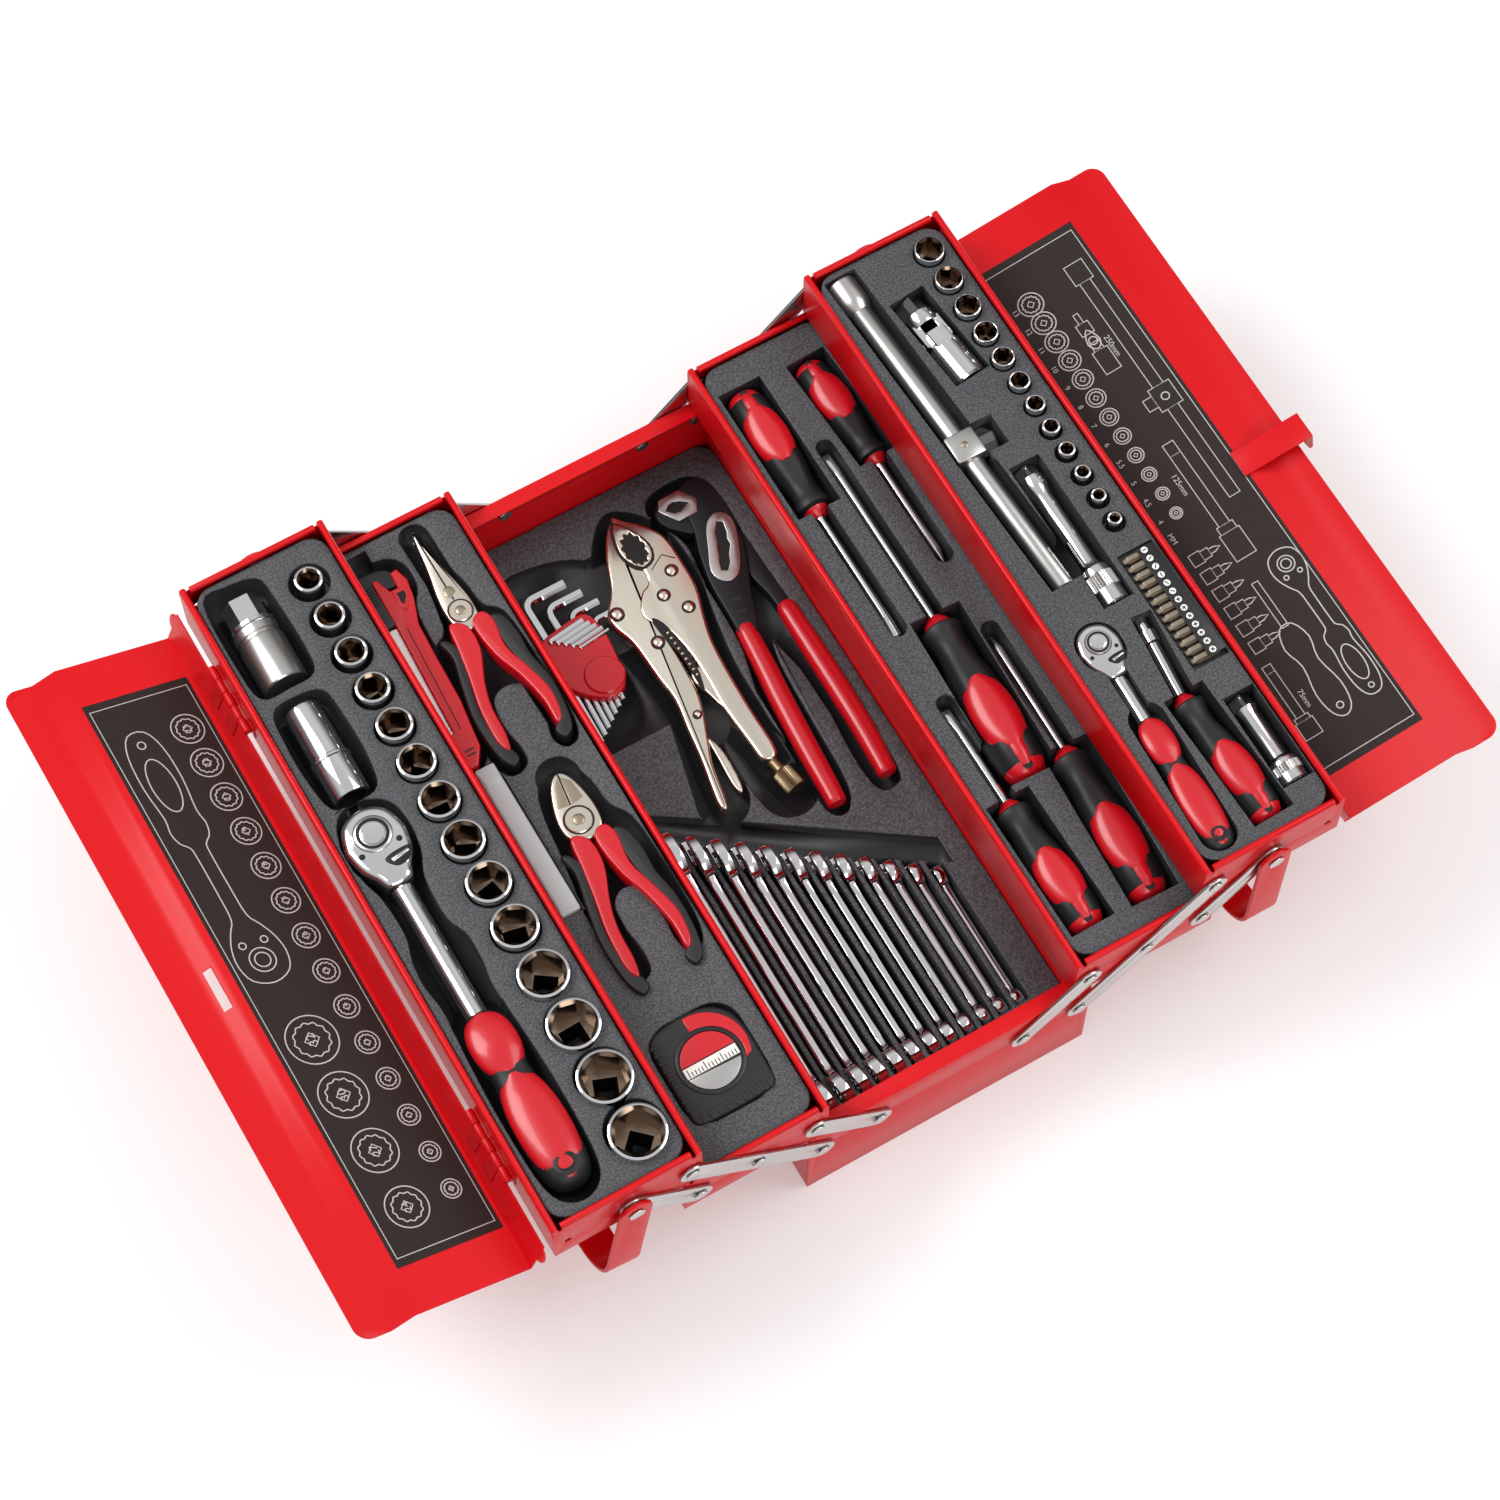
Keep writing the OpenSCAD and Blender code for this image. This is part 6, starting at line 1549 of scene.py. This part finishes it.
class TOOLBOX_OT_charts(bpy.types.Operator):
    """Print the tool charts inside both lids"""

    bl_idname = "toolbox.charts"
    bl_label = "Tool charts"

    def execute(self, context):
        wide = context.scene.toolbox_shape.stroke
        border = [box_path(5, -181, 66, 181)]

        right, marks = list(border), []
        for number, size in enumerate(["13", "12", "11", "10", "9", "8", "7", "6", "5.5", "5", "4.5", "4"]):
            y, radius = 153 - 14.4 * number, 7.6 - 0.36 * number
            right += socket_mark((21, y), radius)
            marks.append((size, (10.5, y), 4.6))
        marks.append(("MM", (10.5, -18), 4.6))
        # Sliding bar with its head and slider.
        right += [box_path(49, 148, 61, 162), box_path(51.5, 68, 58.5, 148), box_path(48, 52, 62, 68),
                  box_path(42, 56, 48, 64), box_path(51.5, -14, 58.5, 52), (spun((55, 60), 2.4, 16), True)]
        marks.append(("250mm", (46.5, 104), 5))
        # Universal joint.
        right += [box_path(34, 90, 44, 106), box_path(36, 106, 42, 112), box_path(35, 118, 43, 126),
                  box_path(37.5, 126, 40.5, 133),
                  (eased([(35, 112), (39, 121), (43, 112), (39, 107)], 3), True),
                  (spun((39, 113), 2.6, 16), True)]
        right += extension_mark(40, 34, -50, 13, 7)
        marks.append(("125mm", (32, 8), 5))
        for number in range(6):
            y = -36 - 12.6 * number
            right += [box_path(12, y - 4, 19, y + 4), box_path(19, y - 3, 24, y + 3),
                      ([(24, y - 1.6), (27, y - 1.6), (31, y), (27, y + 1.6), (24, y + 1.6)], True)]
        right += ratchet_mark(56, -66, -158, 20)
        # Spinner handle.
        right += [box_path(33, -66, 37, -98),
                  (eased([(31, -98), (39, -98), (43, -110), (40, -124), (43, -142), (41, -156), (35, -161),
                          (29, -156), (27, -142), (30, -124), (27, -110)], 3), True),
                  (spun((35, -154), 2, 12), True)]
        right += extension_mark(13, -112, -162, 11, 5.5)
        marks.append(("75mm", (20.5, -140), 4.6))

        left, numbers = list(border), []
        for number, size in enumerate(["23", "22", "21", "19", "18", "17", "16", "15", "14", "13", "12", "11",
                                       "10", "8"]):
            y, radius = 154 - 23.8 * number, 9.6 - 0.3 * number
            left += socket_mark((18, y), radius)
            numbers.append((size, (18, y), radius * 0.62))
        for number, size in enumerate(["32", "30", "27", "24"]):
            y, radius = -48 - 36 * number, 15 - 0.9 * number
            left += socket_mark((46, y), radius)
            numbers.append((size, (46, y), radius * 0.5))
        left += ratchet_mark(48, 6, 160, 30)

        for side, paths, words, turn, flip in (("right", right, marks, -pi / 2, 1),
                                               ("left", left, numbers, -pi / 2, -1)):
            finished(f"{side}_sticker", "film", 0)
            place = chart_frame(side)
            shapes = [line_art(paths, wide)]
            shapes += [lettering(text, where, high, turn, flip) for text, where, high in words]
            for bm in shapes:
                bmesh.ops.transform(bm, matrix=place, verts=bm.verts)
            ink = assemble(f"{side}_chart", [(bm, "ink") for bm in shapes], None, body=f"{side}_lid")
        return {"FINISHED"}


# ---------- registration ----------
OPERATORS = [
    TOOLBOX_OT_stage, TOOLBOX_OT_sheet, TOOLBOX_OT_links, TOOLBOX_OT_handles, TOOLBOX_OT_inserts,
    TOOLBOX_OT_charts, TOOLBOX_OT_half_inch_sockets, TOOLBOX_OT_quarter_inch_sockets, TOOLBOX_OT_ratchets,
    TOOLBOX_OT_screwdrivers, TOOLBOX_OT_pliers, TOOLBOX_OT_pump_pliers, TOOLBOX_OT_locking_pliers,
    TOOLBOX_OT_spanners, TOOLBOX_OT_hex_keys, TOOLBOX_OT_knife, TOOLBOX_OT_tape, TOOLBOX_OT_bars,
    TOOLBOX_OT_universal_joint, TOOLBOX_OT_bits, TOOLBOX_OT_spinner,
]


class TOOLBOX_PT_panel(bpy.types.Panel):
    """Every step of the toolbox, in the order it is built."""

    bl_idname = "TOOLBOX_PT_panel"
    bl_label = "Toolbox"
    bl_space_type = "VIEW_3D"
    bl_region_type = "UI"
    bl_category = "Toolbox"

    def draw(self, context):
        column = self.layout.column(align=True)
        for settings in (context.scene.toolbox_shape, context.scene.toolbox_finish):
            for key in settings.__annotations__:
                column.prop(settings, key)
        for operator in OPERATORS:
            column.operator(operator.bl_idname)


CLASSES = [ToolboxShape, ToolboxFinish, *OPERATORS, TOOLBOX_PT_panel]


def register():
    for kind in CLASSES:
        bpy.utils.register_class(kind)
    bpy.types.Scene.toolbox_shape = PointerProperty(type=ToolboxShape)
    bpy.types.Scene.toolbox_finish = PointerProperty(type=ToolboxFinish)


def unregister():
    del bpy.types.Scene.toolbox_finish
    del bpy.types.Scene.toolbox_shape
    for kind in reversed(CLASSES):
        bpy.utils.unregister_class(kind)


def main():
    register()
    MATERIALS.update(make_materials(bpy.context.scene.toolbox_finish))
    for operator in OPERATORS:
        group, name = operator.bl_idname.split(".")
        getattr(getattr(bpy.ops, group), name)()


if __name__ == "__main__":
    main()
